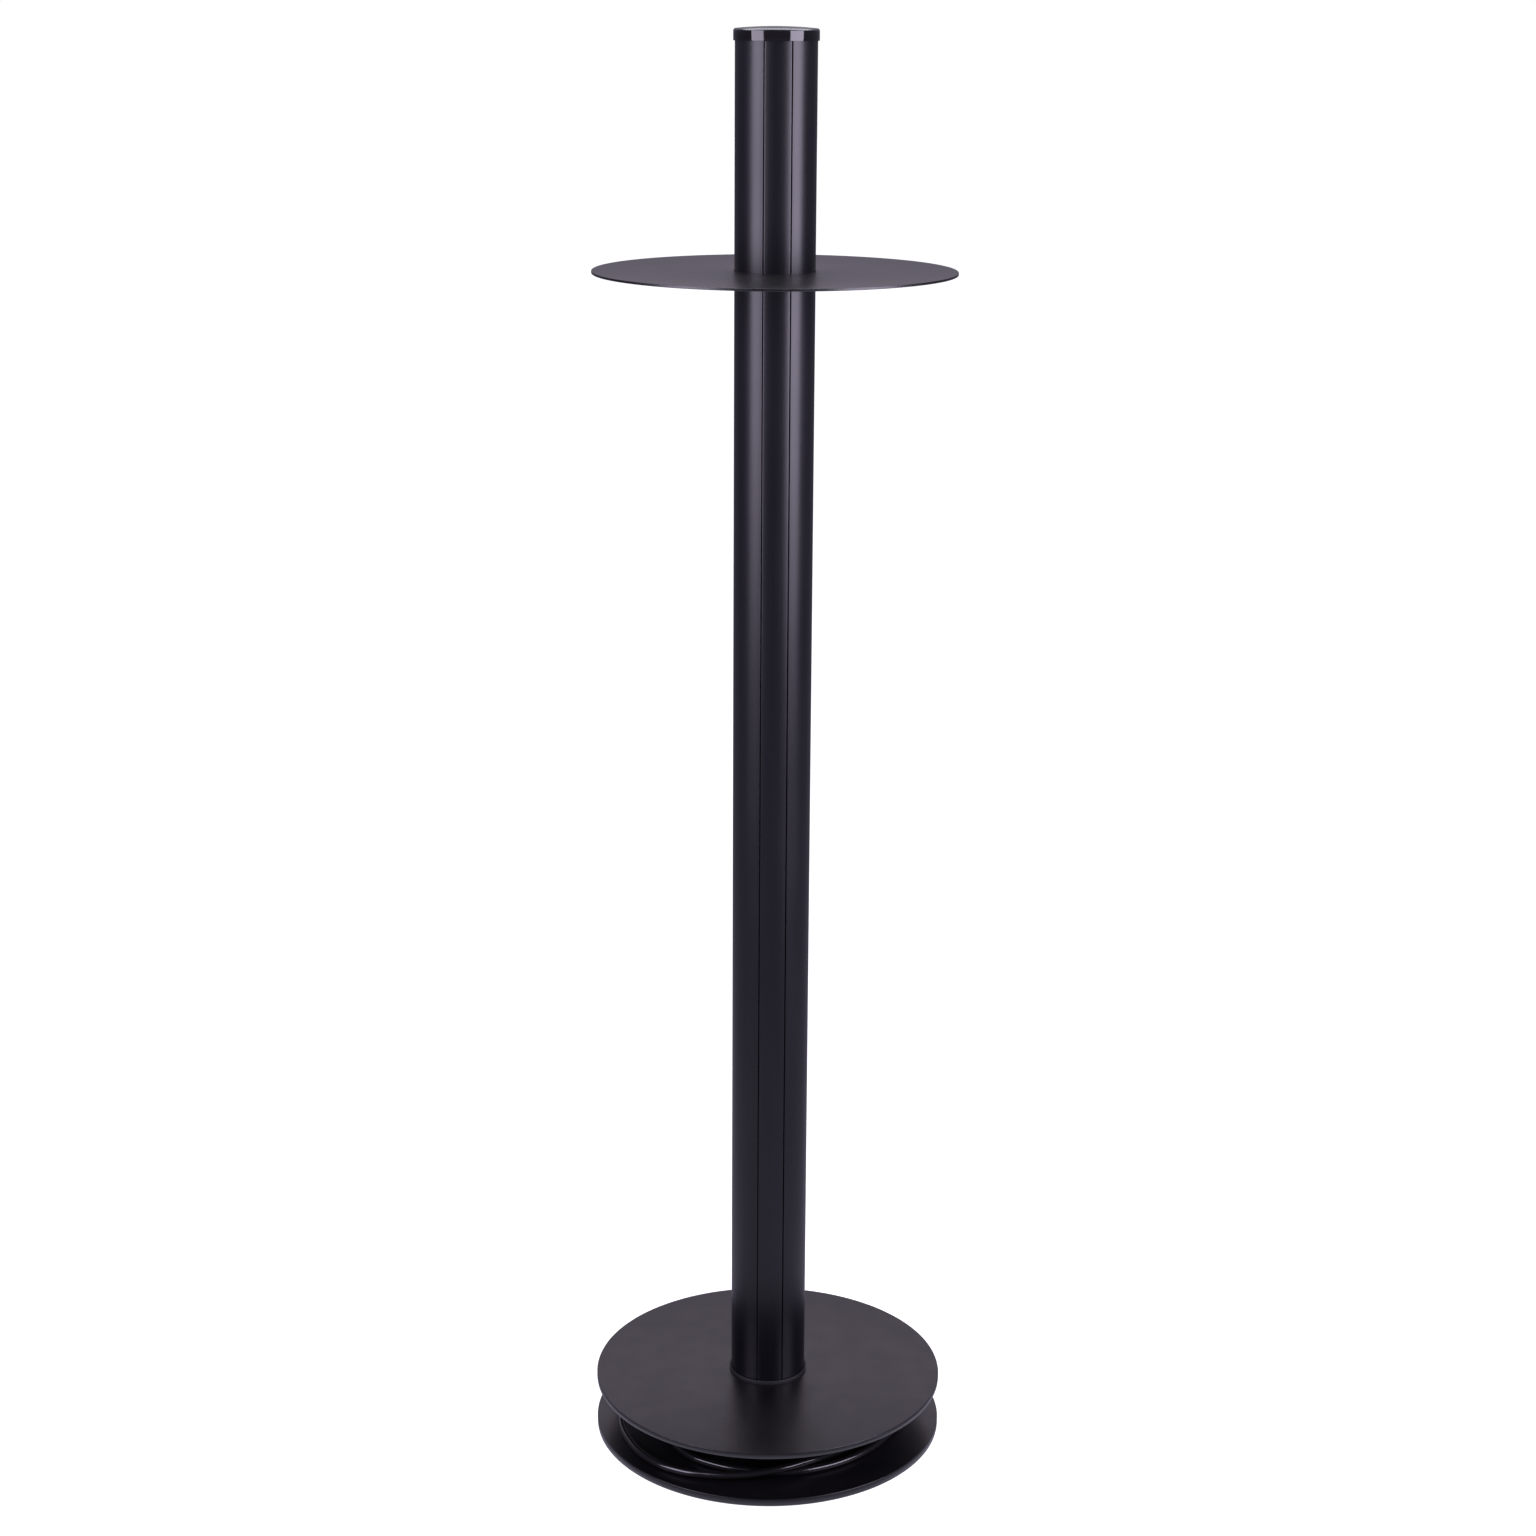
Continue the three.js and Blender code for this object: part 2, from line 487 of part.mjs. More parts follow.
// mains lead: from the boot round to the winding on the drum, then two loose laps on the lower plate
function buildLead() {
  const low = lead.low;
  const runIn = [
    alongBoot(3),
    alongBoot(22),
    alongBoot(36),
    alongBoot(42),
    polar(131, 124.5, 45.2),
    polar(136.5, 130.5, 44),
    polar(137.5, 137, 42.3),
    polar(134, 145, 39.6),
    polar(125, 155, 35.8),
    polar(115, 166, 32.6),
    polar(107, 178, 30.9),
  ];
  add("lead_run_in", cord(runIn, lead.r, 12), pvc);

  const ringIn = lead.turnR - lead.r;
  const ringOut = lead.turnR + lead.r + 0.2;
  const ringLow = low - lead.r;
  add("lead_winding", disc(ringIn, ringOut, ringLow, ringLow + 4 * lead.r + 0.1, 1.5), pvc);

  const outer = [
    polar(111.3, 186, low),
    polar(118, 198, low),
    polar(127, 213, low),
    polar(135, 228, low),
    polar(137, 243, low),
    polar(138, 257, low),
    polar(141.2, 272, low),
    polar(141.5, 290, low),
    polar(142, 310, low),
    polar(143.5, 328, low),
    polar(147.5, 348, low),
    polar(152.5, 372, low),
    polar(157.5, 400, low),
    polar(160, 430, low),
    polar(160, 460, low),
    polar(159.5, 490, low),
    polar(160, 520, low),
    polar(163, 545, low),
    polar(168, 566, low),
    polar(170.5, 581, low),
    polar(167.5, 593, low + 0.3),
    polar(161, 604, low + 1.3),
    polar(156.5, 614.5, low + 3.4),
    polar(152.5, 624.5, low + 6.5),
    polar(147, 634.5, low + 8.7),
    polar(139, 645, low + 8.6),
    polar(130.5, 657, low + 4.8),
    polar(125, 672, low + 0.9),
    polar(126.5, 690, low + 0.5),
    polar(133, 704, low + 4),
    polar(138.5, 714, low + 9),
  ];
  const axisZ = base.lowTop + CLEAR + plug.body;
  const middle = polar(plug.r, plug.angle, axisZ);
  const forward = polar(1, plug.angle + 90);
  const onPlug = (s) => middle.clone().addScaledVector(forward, s);
  outer.push(onPlug(-60), onPlug(-50), onPlug(-39));
  add("lead_outer", cord(outer, lead.r, 60), pvc);

  const body = turned(
    [
      [lead.r + CLEAR, -45],
      [5.4, -45],
      [7.4, -24],
      [9.5, -20],
      [14, -8],
      [14.5, 6],
      [plug.body, 9],
      [plug.body, 25],
      [plug.body - 1, 26],
      [0, 26],
      [0, -38.5],
      [lead.r + CLEAR, -38.5],
    ],
    28,
  );
  const pin = { r: 2.4, x: 9.5, from: 20, to: 45 };
  const lay = (made) =>
    made
      .rotate([0, 90, 0])
      .rotate([0, 0, plug.angle + 90])
      .translate([middle.x, middle.y, middle.z]);
  const notches = [-1, 1].map((s) => box(s * 17.2 - 1.3, s * 17.2 + 1.3, -3, 3, 9, 30));
  const sockets = [-1, 1].map((s) => cylinder(pin.r + CLEAR, pin.from - CLEAR, 30, [0, s * pin.x]));
  add("plug_body", lay(cut(body, [...sockets, ...notches])), rubber);
  [-1, 1].forEach((s, i) => {
    const prong = turned(
      [[0, pin.from], [pin.r, pin.from], [pin.r, pin.to - 1.5], [1.2, pin.to], [0, pin.to]],
      16,
    ).translate([0, s * pin.x, 0]);
    add(`plug_pin_${i + 1}`, lay(prong), zinc);
  });
}

buildBase();
buildColumn();
buildOutlets();
buildShelf();
buildSupply();
buildLead();

export default rack;
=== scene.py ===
import math

import bmesh
import bpy
from mathutils import Matrix, Vector


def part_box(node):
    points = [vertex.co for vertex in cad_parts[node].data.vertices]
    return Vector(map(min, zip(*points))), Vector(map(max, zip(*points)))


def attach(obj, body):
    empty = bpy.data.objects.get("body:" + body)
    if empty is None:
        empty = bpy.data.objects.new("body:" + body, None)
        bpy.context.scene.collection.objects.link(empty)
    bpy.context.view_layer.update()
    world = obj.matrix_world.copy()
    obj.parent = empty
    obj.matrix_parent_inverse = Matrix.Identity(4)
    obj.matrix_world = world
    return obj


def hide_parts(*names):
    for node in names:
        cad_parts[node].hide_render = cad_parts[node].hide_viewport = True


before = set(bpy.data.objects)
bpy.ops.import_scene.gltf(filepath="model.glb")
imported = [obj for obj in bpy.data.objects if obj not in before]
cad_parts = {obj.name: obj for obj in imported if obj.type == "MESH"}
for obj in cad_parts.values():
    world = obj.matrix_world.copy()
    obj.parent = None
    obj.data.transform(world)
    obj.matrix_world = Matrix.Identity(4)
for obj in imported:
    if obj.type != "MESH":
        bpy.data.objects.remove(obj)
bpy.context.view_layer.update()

print("frame loaded:", len(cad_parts), "nodes")

studioCamera = {
    "place": (-0.1324, -2.6594, 1.5039),
    "heading": 2.768,  # degrees from +Y towards +X
    "pitch": -15.853,
    "roll": 0.357,
    "lens": 62.86,
    "sensor": 36,
}


def makeCamera():
    data = bpy.data.cameras.new("studioCamera")
    data.lens = studioCamera["lens"]
    data.sensor_width = studioCamera["sensor"]
    data.clip_start = 0.05
    data.clip_end = 100
    camera = bpy.data.objects.new("studioCamera", data)
    bpy.context.scene.collection.objects.link(camera)
    turn = Matrix.Rotation(-math.radians(studioCamera["heading"]), 4, "Z")
    tilt = Matrix.Rotation(math.radians(90 + studioCamera["pitch"]), 4, "X")
    roll = Matrix.Rotation(math.radians(studioCamera["roll"]), 4, "Z")
    camera.matrix_world = Matrix.Translation(studioCamera["place"]) @ turn @ tilt @ roll
    bpy.context.scene.camera = camera


makeCamera()
print("camera placed")

# places and outlines


def around(radius, degrees, z=0.0):
    angle = math.radians(degrees)
    return Vector((radius * math.cos(angle), radius * math.sin(angle), z))


def mix(a, b, share):
    return a + (b - a) * share


def arcPoints(radius, fromDegrees, toDegrees, steps):
    return [flat(around(radius, mix(fromDegrees, toDegrees, i / steps))) for i in range(steps + 1)]


def flat(point):
    return tuple(point[:2])


def rounded(corners, steps=4):
    # closed outline; a corner's third number is the radius of its rounding
    outline = []
    for i, corner in enumerate(corners):
        point = Vector(corner[:2])
        radius = corner[2] if len(corner) > 2 else 0
        if radius == 0:
            outline.append(tuple(point))
            continue
        back = (Vector(corners[i - 1][:2]) - point).normalized()
        ahead = (Vector(corners[(i + 1) % len(corners)][:2]) - point).normalized()
        half = back.angle(ahead) / 2
        centre = point + (back + ahead).normalized() * radius / math.sin(half)
        start = point + back * radius / math.tan(half) - centre
        end = point + ahead * radius / math.tan(half) - centre
        sweep = math.atan2(start.x * end.y - start.y * end.x, start.dot(end))
        for k in range(steps + 1):
            outline.append(tuple(centre + Matrix.Rotation(sweep * k / steps, 2) @ start))
    return outline


def roundedBox(halfX, halfY, radius, steps=4):
    signs = ((-1, -1), (1, -1), (1, 1), (-1, 1))
    return rounded([(s * halfX, t * halfY, radius) for s, t in signs], steps)


# meshes
past = 0.001  # how far a cutting tool runs past the face that it cuts


def pieceFrom(name, bm, sharpFrom=35):
    bmesh.ops.remove_doubles(bm, verts=bm.verts, dist=1e-7)
    bmesh.ops.recalc_face_normals(bm, faces=bm.faces)
    mesh = bpy.data.meshes.new(name)
    bm.to_mesh(mesh)
    bm.free()
    mesh.shade_smooth()
    mesh.set_sharp_from_angle(angle=math.radians(sharpFrom))
    piece = bpy.data.objects.new(name, mesh)
    bpy.context.scene.collection.objects.link(piece)
    return piece


def turned(name, profile, segments=192, sharpFrom=35):
    # profile is (radius, z); it starts and ends on the axis, or closes on itself
    bm = bmesh.new()
    rows = []
    for radius, z in profile:
        if radius < 1e-7:
            rows.append([bm.verts.new((0, 0, z))] * segments)
        else:
            rows.append([bm.verts.new(around(radius, 360 * i / segments, z)) for i in range(segments)])
    pairs = list(zip(rows, rows[1:]))
    if profile[0][0] > 1e-7:
        pairs.append((rows[-1], rows[0]))
    for low, high in pairs:
        for i in range(segments):
            j = (i + 1) % segments
            corners = []
            for vert in (low[i], low[j], high[j], high[i]):
                if vert not in corners:
                    corners.append(vert)
            if len(corners) > 2:
                bm.faces.new(corners)
    return pieceFrom(name, bm, sharpFrom)


def extruded(name, outline, z0, z1, edge=0.0, sharpFrom=35):
    bm = bmesh.new()
    low = bm.faces.new([bm.verts.new((x, y, z0)) for x, y in outline])
    grown = bmesh.ops.extrude_face_region(bm, geom=[low])["geom"]
    top = [v for v in grown if isinstance(v, bmesh.types.BMVert)]
    bmesh.ops.translate(bm, vec=(0, 0, z1 - z0), verts=top)
    bm.normal_update()
    if edge:
        rims = [e for e in bm.edges if any(abs(f.normal.z) > 0.9 for f in e.link_faces)]
        bmesh.ops.bevel(bm, geom=rims, offset=edge, segments=2, affect="EDGES", profile=0.5)
    return pieceFrom(name, bm, sharpFrom)


def boxPiece(name, low, high, edge=0.0):
    corners = [(low[0], low[1]), (high[0], low[1]), (high[0], high[1]), (low[0], high[1])]
    piece = extruded(name, corners, low[2], high[2])
    if edge:
        bm = bmesh.new()
        bm.from_mesh(piece.data)
        bmesh.ops.bevel(bm, geom=list(bm.edges), offset=edge, segments=3, affect="EDGES", profile=0.5)
        bm.to_mesh(piece.data)
        bm.free()
        piece.data.shade_smooth()
        piece.data.set_sharp_from_angle(angle=math.radians(35))
    return piece


def move(piece, matrix):
    piece.data.transform(matrix)
    piece.data.update()
    return piece


def rod(radius, z0, z1, segments):
    return turned("rod", [(0, z0), (radius, z0), (radius, z1), (0, z1)], segments)


def screwHole(radius, z0, z1, at=(0, 0), segments=48):
    return move(rod(radius, z0, z1, segments), Matrix.Translation((at[0], at[1], 0)))


def combine(piece, tools, operation="DIFFERENCE", sharpFrom=35):
    # boolean with each tool in turn, applied, and the tools thrown away
    for tool in tools:
        step = piece.modifiers.new("combine", "BOOLEAN")
        step.operation = operation
        step.solver = "EXACT"
        step.object = tool
    bpy.context.view_layer.update()
    worked = piece.evaluated_get(bpy.context.evaluated_depsgraph_get())
    made = bpy.data.meshes.new_from_object(worked)
    made.name = piece.name
    piece.modifiers.clear()
    piece.data = made
    bm = bmesh.new()
    bm.from_mesh(made)
    bmesh.ops.remove_doubles(bm, verts=bm.verts, dist=2e-7)
    bmesh.ops.dissolve_degenerate(bm, edges=bm.edges, dist=2e-7)
    bm.to_mesh(made)
    bm.free()
    made.shade_smooth()
    made.set_sharp_from_angle(angle=math.radians(sharpFrom))
    for tool in tools:
        bpy.data.objects.remove(tool)
    return piece


def faceOut(piece, x, z):
    # made along +Z, then laid along +Y, so that its face looks to the back
    return move(piece, Matrix.Translation((x, 0, z)) @ Matrix.Rotation(-math.pi / 2, 4, "X"))


def alongWay(degrees):
    # turns a piece made along +Z to lie level, pointing that way
    return Matrix.Rotation(math.radians(degrees), 4, "Z") @ Matrix.Rotation(math.pi / 2, 4, "Y")


# materials


def startMaterial(name, colour, roughness, metallic=0.0):
    material = bpy.data.materials.new(name)
    material.use_nodes = True
    material.diffuse_color = (*colour, 1)
    shader = material.node_tree.nodes["Principled BSDF"]
    shader.inputs["Base Color"].default_value = (*colour, 1)
    shader.inputs["Roughness"].default_value = roughness
    shader.inputs["Metallic"].default_value = metallic
    return material, material.node_tree, shader


def stretchedPoint(tree, scale=(1, 1, 1)):
    place = tree.nodes.new("ShaderNodeTexCoord")
    stretch = tree.nodes.new("ShaderNodeMapping")
    stretch.inputs["Scale"].default_value = scale
    tree.links.new(place.outputs["Object"], stretch.inputs["Vector"])
    return stretch.outputs["Vector"]


def grain(tree, point, scale, detail=2.0, roughness=0.5):
    texture = tree.nodes.new("ShaderNodeTexNoise")
    texture.inputs["Scale"].default_value = scale
    texture.inputs["Detail"].default_value = detail
    texture.inputs["Roughness"].default_value = roughness
    tree.links.new(point, texture.inputs["Vector"])
    return texture.outputs["Fac"]


def spread(tree, value, fromRange, toRange):
    step = tree.nodes.new("ShaderNodeMapRange")
    step.inputs["From Min"].default_value = fromRange[0]
    step.inputs["From Max"].default_value = fromRange[1]
    step.inputs["To Min"].default_value = toRange[0]
    step.inputs["To Max"].default_value = toRange[1]
    tree.links.new(value, step.inputs["Value"])
    return step.outputs["Result"]


def colourBetween(tree, value, dark, light):
    ramp = tree.nodes.new("ShaderNodeValToRGB")
    ramp.color_ramp.elements[0].color = (*dark, 1)
    ramp.color_ramp.elements[1].color = (*light, 1)
    tree.links.new(value, ramp.inputs["Fac"])
    return ramp.outputs["Color"]


def added(tree, first, second):
    total = tree.nodes.new("ShaderNodeMath")
    total.operation = "ADD"
    tree.links.new(first, total.inputs[0])
    tree.links.new(second, total.inputs[1])
    return total.outputs["Value"]


def bumpFrom(tree, shader, height, strength, distance):
    bump = tree.nodes.new("ShaderNodeBump")
    bump.inputs["Strength"].default_value = strength
    bump.inputs["Distance"].default_value = distance
    tree.links.new(height, bump.inputs["Height"])
    tree.links.new(bump.outputs["Normal"], shader.inputs["Normal"])


grainRange = (0.3, 0.7)  # a grain's value keeps mostly between these two

powderCoat = {
    "dark": (0.0022, 0.0020, 0.0024),
    "light": (0.0040, 0.0036, 0.0042),
    "roughness": (0.29, 0.35),
}


def powderCoatMaterial():
    material, tree, shader = startMaterial("powderCoat", powderCoat["light"], 0.4)
    point = stretchedPoint(tree)
    fine = grain(tree, point, 1500, detail=3.0, roughness=0.6)
    cloud = grain(tree, point, 35, detail=3.0, roughness=0.55)
    share = spread(tree, fine, grainRange, (0, 1))
    colour = colourBetween(tree, share, powderCoat["dark"], powderCoat["light"])
    tree.links.new(colour, shader.inputs["Base Color"])
    tree.links.new(spread(tree, cloud, grainRange, powderCoat["roughness"]), shader.inputs["Roughness"])
    bumpFrom(tree, shader, fine, strength=0.22, distance=0.00012)
    return material


anodised = {
    "dark": (0.0026, 0.0025, 0.0038),
    "light": (0.0042, 0.0040, 0.0060),
    "roughness": (0.29, 0.35),
    "gloss": 0.38,
}


def anodisedMaterial():
    # fine matt skin over faint die lines that run the length of the extrusion
    material, tree, shader = startMaterial("anodisedAluminium", anodised["light"], 0.33)
    shader.inputs["Specular IOR Level"].default_value = anodised["gloss"]
    lines = grain(tree, stretchedPoint(tree, (1, 1, 0.004)), 900, roughness=0.6)
    skin = grain(tree, stretchedPoint(tree), 1800)
    cloud = grain(tree, stretchedPoint(tree, (1, 1, 0.2)), 25)
    share = spread(tree, lines, grainRange, (0, 1))
    colour = colourBetween(tree, share, anodised["dark"], anodised["light"])
    tree.links.new(colour, shader.inputs["Base Color"])
    tree.links.new(spread(tree, cloud, grainRange, anodised["roughness"]), shader.inputs["Roughness"])
    bumpFrom(tree, shader, added(tree, lines, skin), strength=0.10, distance=0.00008)
    return material


capGloss = {"colour": (0.006, 0.0055, 0.006), "smudged": (0.05, 0.12), "satinTop": 0.24}


def glossMaterial():
    # the side is polished, and the top is left satin, as it comes from the mould
    material, tree, shader = startMaterial("capGloss", capGloss["colour"], 0.07)
    smudge = grain(tree, stretchedPoint(tree), 60, detail=4.0, roughness=0.65)
    place = tree.nodes.new("ShaderNodeTexCoord")
    facing = tree.nodes.new("ShaderNodeSeparateXYZ")
    tree.links.new(place.outputs["Normal"], facing.inputs["Vector"])
    polish = spread(tree, smudge, (0.45, 0.75), capGloss["smudged"])
    satin = spread(tree, facing.outputs["Z"], (0.1, 0.45), (0, capGloss["satinTop"]))
    tree.links.new(added(tree, polish, satin), shader.inputs["Roughness"])
    waves = grain(tree, stretchedPoint(tree), 220, detail=1.0)
    bumpFrom(tree, shader, waves, strength=0.03, distance=0.0001)
    return material


def mouldedMaterial(name, colour, roughness, grainScale=2200, depth=0.25):
    # moulded plastic or rubber with an eroded grain
    material, tree, shader = startMaterial(name, colour, roughness)
    point = stretchedPoint(tree)
    fine = grain(tree, point, grainScale, roughness=0.6)
    dark = tuple(c * 0.75 for c in colour)
    light = tuple(c * 1.25 for c in colour)
    colour = colourBetween(tree, grain(tree, point, 90, detail=3.0), dark, light)
    tree.links.new(colour, shader.inputs["Base Color"])
    matt = spread(tree, fine, grainRange, (roughness - 0.05, roughness + 0.07))
    tree.links.new(matt, shader.inputs["Roughness"])
    bumpFrom(tree, shader, fine, strength=depth, distance=0.0001)
    return material


def leadMaterial():
    material, tree, shader = startMaterial("leadPvc", (0.0075, 0.0072, 0.0075), 0.24)
    point = stretchedPoint(tree)
    shine = spread(tree, grain(tree, point, 160, detail=3.0), grainRange, (0.13, 0.20))
    tree.links.new(shine, shader.inputs["Roughness"])
    bumpFrom(tree, shader, grain(tree, point, 420), strength=0.012, distance=0.0001)
    return material


def metalMaterial(name, dark, light, roughness, brush=(1, 1, 0.1)):
    material, tree, shader = startMaterial(name, light, roughness, 1.0)
    marks = grain(tree, stretchedPoint(tree, brush), 1400, detail=3.0, roughness=0.6)
    tree.links.new(colourBetween(tree, marks, dark, light), shader.inputs["Base Color"])
    brushed = spread(tree, marks, grainRange, (roughness - 0.07, roughness + 0.08))
    tree.links.new(brushed, shader.inputs["Roughness"])
    bumpFrom(tree, shader, marks, strength=0.08, distance=0.0001)
    return material


def earthMaterial():
    # green with yellow stripes
    material, tree, shader = startMaterial("earthInsulation", (0.05, 0.25, 0.04), 0.45)
    stripe = tree.nodes.new("ShaderNodeTexWave")
    stripe.inputs["Scale"].default_value = 110
    stripe.bands_direction = "X"
    tree.links.new(stretchedPoint(tree), stripe.inputs["Vector"])
    ramp = tree.nodes.new("ShaderNodeValToRGB")
    ramp.color_ramp.interpolation = "CONSTANT"
    ramp.color_ramp.elements[0].color = (0.04, 0.22, 0.03, 1)
    ramp.color_ramp.elements[1].position = 0.6
    ramp.color_ramp.elements[1].color = (0.62, 0.55, 0.03, 1)
    tree.links.new(stripe.outputs["Fac"], ramp.inputs["Fac"])
    tree.links.new(ramp.outputs["Color"], shader.inputs["Base Color"])
    return material


finishes = {
    "powder_coat": powderCoatMaterial(),
    "anodised_aluminium": anodisedMaterial(),
    "cap_gloss": glossMaterial(),
    "black_plastic": mouldedMaterial("blackPlastic", (0.008, 0.008, 0.009), 0.55),
    "drum_plastic": mouldedMaterial("drumPlastic", (0.010, 0.010, 0.011), 0.55, 1500, 0.3),
    "outlet_plastic": mouldedMaterial("outletPlastic", (0.013, 0.013, 0.014), 0.36, 2600, 0.2),
    "terminal_plastic": mouldedMaterial("terminalPlastic", (0.42, 0.40, 0.36), 0.45),
    "pad_rubber": mouldedMaterial("padRubber", (0.011, 0.011, 0.011), 0.78, 1200, 0.4),
    "plug_rubber": mouldedMaterial("plugRubber", (0.011, 0.011, 0.012), 0.46, 1600, 0.25),
    "lead_pvc": leadMaterial(),
    "wire_brown": mouldedMaterial("brownInsulation", (0.12, 0.045, 0.02), 0.4, 900, 0.1),
    "wire_blue": mouldedMaterial("blueInsulation", (0.02, 0.10, 0.36), 0.4, 900, 0.1),
    "wire_green": earthMaterial(),
    "zinc_steel": metalMaterial("zincSteel", (0.46, 0.47, 0.49), (0.68, 0.70, 0.73), 0.34),
    "black_steel": metalMaterial("blackSteel", (0.035, 0.035, 0.038), (0.07, 0.07, 0.075), 0.38),
    "contact_brass": metalMaterial("contactBrass", (0.52, 0.38, 0.16), (0.75, 0.58, 0.28), 0.28),
    "pin_nickel": metalMaterial("pinNickel", (0.55, 0.53, 0.50), (0.78, 0.76, 0.72), 0.2),
}
print("finishes:", len(finishes))


def dress(piece, slot, body="stand", nodes=()):
    # finish, body and the frame's nodes that the piece stands for
    piece.data.materials.clear()
    piece.data.materials.append(finishes[slot])
    if nodes:
        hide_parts(*nodes)
    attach(piece, body)
    return piece


# mains lead: out of the boot, two turns on the drum, then two loose laps and back in to the plug
bootPlace = {"radius": 0.091, "angle": 105, "lean": 50, "z": 0.046, "end": 0.036}
plugPlace = {"radius": 0.128, "angle": 28, "z": 0.0288}
mainsLead = {"radius": 0.004, "length": 2.92, "low": 0.0143}  # low: the middle of the lowest layer
winding = {
    "radius": 0.1024,
    "layer": 0.0082,
    "from": 190,
    "to": 870,
    "step": 15,
    "drops": (180, 540),  # degrees at which the lead starts down to the next layer
    "dropLength": 45,
    "slack": 0.0035,  # the first turn starts that much further out
    "slackLength": 30,
}

# each place on the way is (radius, degrees round the stand, height)
runIn = [
    (0.131, 124.5, 0.0452),
    (0.1365, 130.5, 0.044),
    (0.1375, 137, 0.0423),
    (0.134, 145, 0.0396),
    (0.125, 155, 0.0358),
    (0.115, 166, 0.0326),
    (0.107, 178, 0.0309),
]
# here the height is above the lowest layer
looseLaps = [
    (0.1027, 872, 0),
    (0.1057, 888, 0),
    (0.1113, 906, 0),
    (0.118, 918, 0),
    (0.127, 933, 0),
    (0.135, 948, 0),
    (0.137, 963, 0),
    (0.138, 977, 0),
    (0.1412, 992, 0),
    (0.1415, 1010, 0),
    (0.142, 1030, 0),
    (0.1435, 1048, 0),
    (0.1475, 1068, 0),
    (0.1525, 1092, 0),
    (0.1575, 1120, 0),
    (0.160, 1150, 0),
    (0.160, 1180, 0),
    (0.1595, 1210, 0),
    (0.160, 1240, 0),
    (0.163, 1265, 0),
    (0.168, 1286, 0),
    (0.1705, 1301, 0),
    (0.1675, 1313, 0.0003),
    (0.161, 1324, 0.0013),
    (0.1565, 1334.5, 0.0034),
    (0.1525, 1344.5, 0.0065),
    (0.147, 1354.5, 0.0087),
    (0.139, 1365, 0.0086),
    (0.1305, 1377, 0.0048),
    (0.125, 1392, 0.0009),
    (0.1265, 1410, 0.0005),
    (0.133, 1424, 0.004),
    (0.1385, 1434, 0.009),
]

bootStart = around(bootPlace["radius"], bootPlace["angle"], bootPlace["z"])
bootWay = bootPlace["angle"] + bootPlace["lean"]
plugMiddle = around(plugPlace["radius"], plugPlace["angle"], plugPlace["z"])
plugWay = plugPlace["angle"] + 90


def alongBoot(s):
    return bootStart + around(1, bootWay) * s


def alongPlug(s):
    return plugMiddle + around(1, plugWay) * s


def windingPoints():
    # two layers: one turn on the upper one, down to the lower one, and on to where the lead leaves
    points = []
    for degrees in range(winding["from"], winding["to"], winding["step"]):
        gone = (degrees - winding["drops"][0]) / winding["slackLength"]
        radius = winding["radius"] + winding["slack"] * max(0, 1 - gone)
        down = 0
        for start in winding["drops"]:
            d = min(1, max(0, (degrees - start) / winding["dropLength"]))
            down += d * d * (3 - 2 * d)
        points.append(around(radius, degrees, mainsLead["low"] + winding["layer"] * (2 - down)))
    return points


def leadPoints():
    points = [alongBoot(s) for s in (0.003, 0.022, 0.036, 0.042)]
    points += [around(*place) for place in runIn]
    points += windingPoints()
    points += [around(radius, degrees, mainsLead["low"] + rise) for radius, degrees, rise in looseLaps]
    return points + [alongPlug(s) for s in (-0.060, -0.050, -0.039)]


def makeLead():
    curve = bpy.data.curves.new("mainsLead", "CURVE")
    curve.dimensions = "3D"
    curve.bevel_depth = mainsLead["radius"]
    curve.bevel_resolution = 6
    curve.resolution_u = 6
    curve.use_fill_caps = True
    curve.twist_mode = "MINIMUM"
    points = leadPoints()
    line = curve.splines.new("BEZIER")
    line.bezier_points.add(len(points) - 1)
    for knot, point in zip(line.bezier_points, points):
        knot.co = point
        knot.handle_left_type = "AUTO"
        knot.handle_right_type = "AUTO"
    lead = bpy.data.objects.new("mainsLead", curve)
    bpy.context.scene.collection.objects.link(lead)
    return dress(lead, "lead_pvc", nodes=("lead_run_in", "lead_winding", "lead_outer"))


lead = makeLead()
print("lead laid")

plug = {
    "face": 0.026,
    "collar": 0.0185,
    "pinRadius": 0.0024,
    "pinReach": 0.045,
    "pinX": 0.0095,
    "pinFrom": 0.020,
    "earthX": 0.01705,
    "grooveX": 0.0177,
    "ribs": 5,
    "grips": 9,
    "gripPitch": 0.0017,
}


def layPlug(piece):
    return move(piece, Matrix.Translation(plugMiddle) @ alongWay(plugWay))


def plugProfile():
    # sleeve with grooves, shoulder, round grip and the wider front collar
    profile = [(0.0043, -0.0385), (0.0043, -0.045), (0.0052, -0.045), (0.0056, -0.0446)]
    for i in range(plug["ribs"]):
        z = -0.043 + 0.0038 * i
        r = 0.0057 + 0.00035 * i
        profile += [(r, z), (r, z + 0.0016), (r - 0.0009, z + 0.0019)]
        profile += [(r - 0.0009, z + 0.0031), (r, z + 0.0034)]
    profile += [(0.0075, -0.0235), (0.0082, -0.0222), (0.0095, -0.020), (0.0112, -0.0165)]
    profile += [(0.0130, -0.0125), (0.0139, -0.008), (0.0143, -0.003), (0.0144, 0.004)]
    profile += [(0.0147, 0.0062), (0.0160, 0.0082), (0.0176, 0.0088)]
    c, f = plug["collar"], plug["face"]
    profile += [(c - 0.0003, 0.0092), (c, 0.0098), (c, f - 0.0015)]
    profile += [(c - 0.0005, f - 0.0004), (c - 0.0013, f), (0, f)]
    return [(0, -0.0385)] + profile


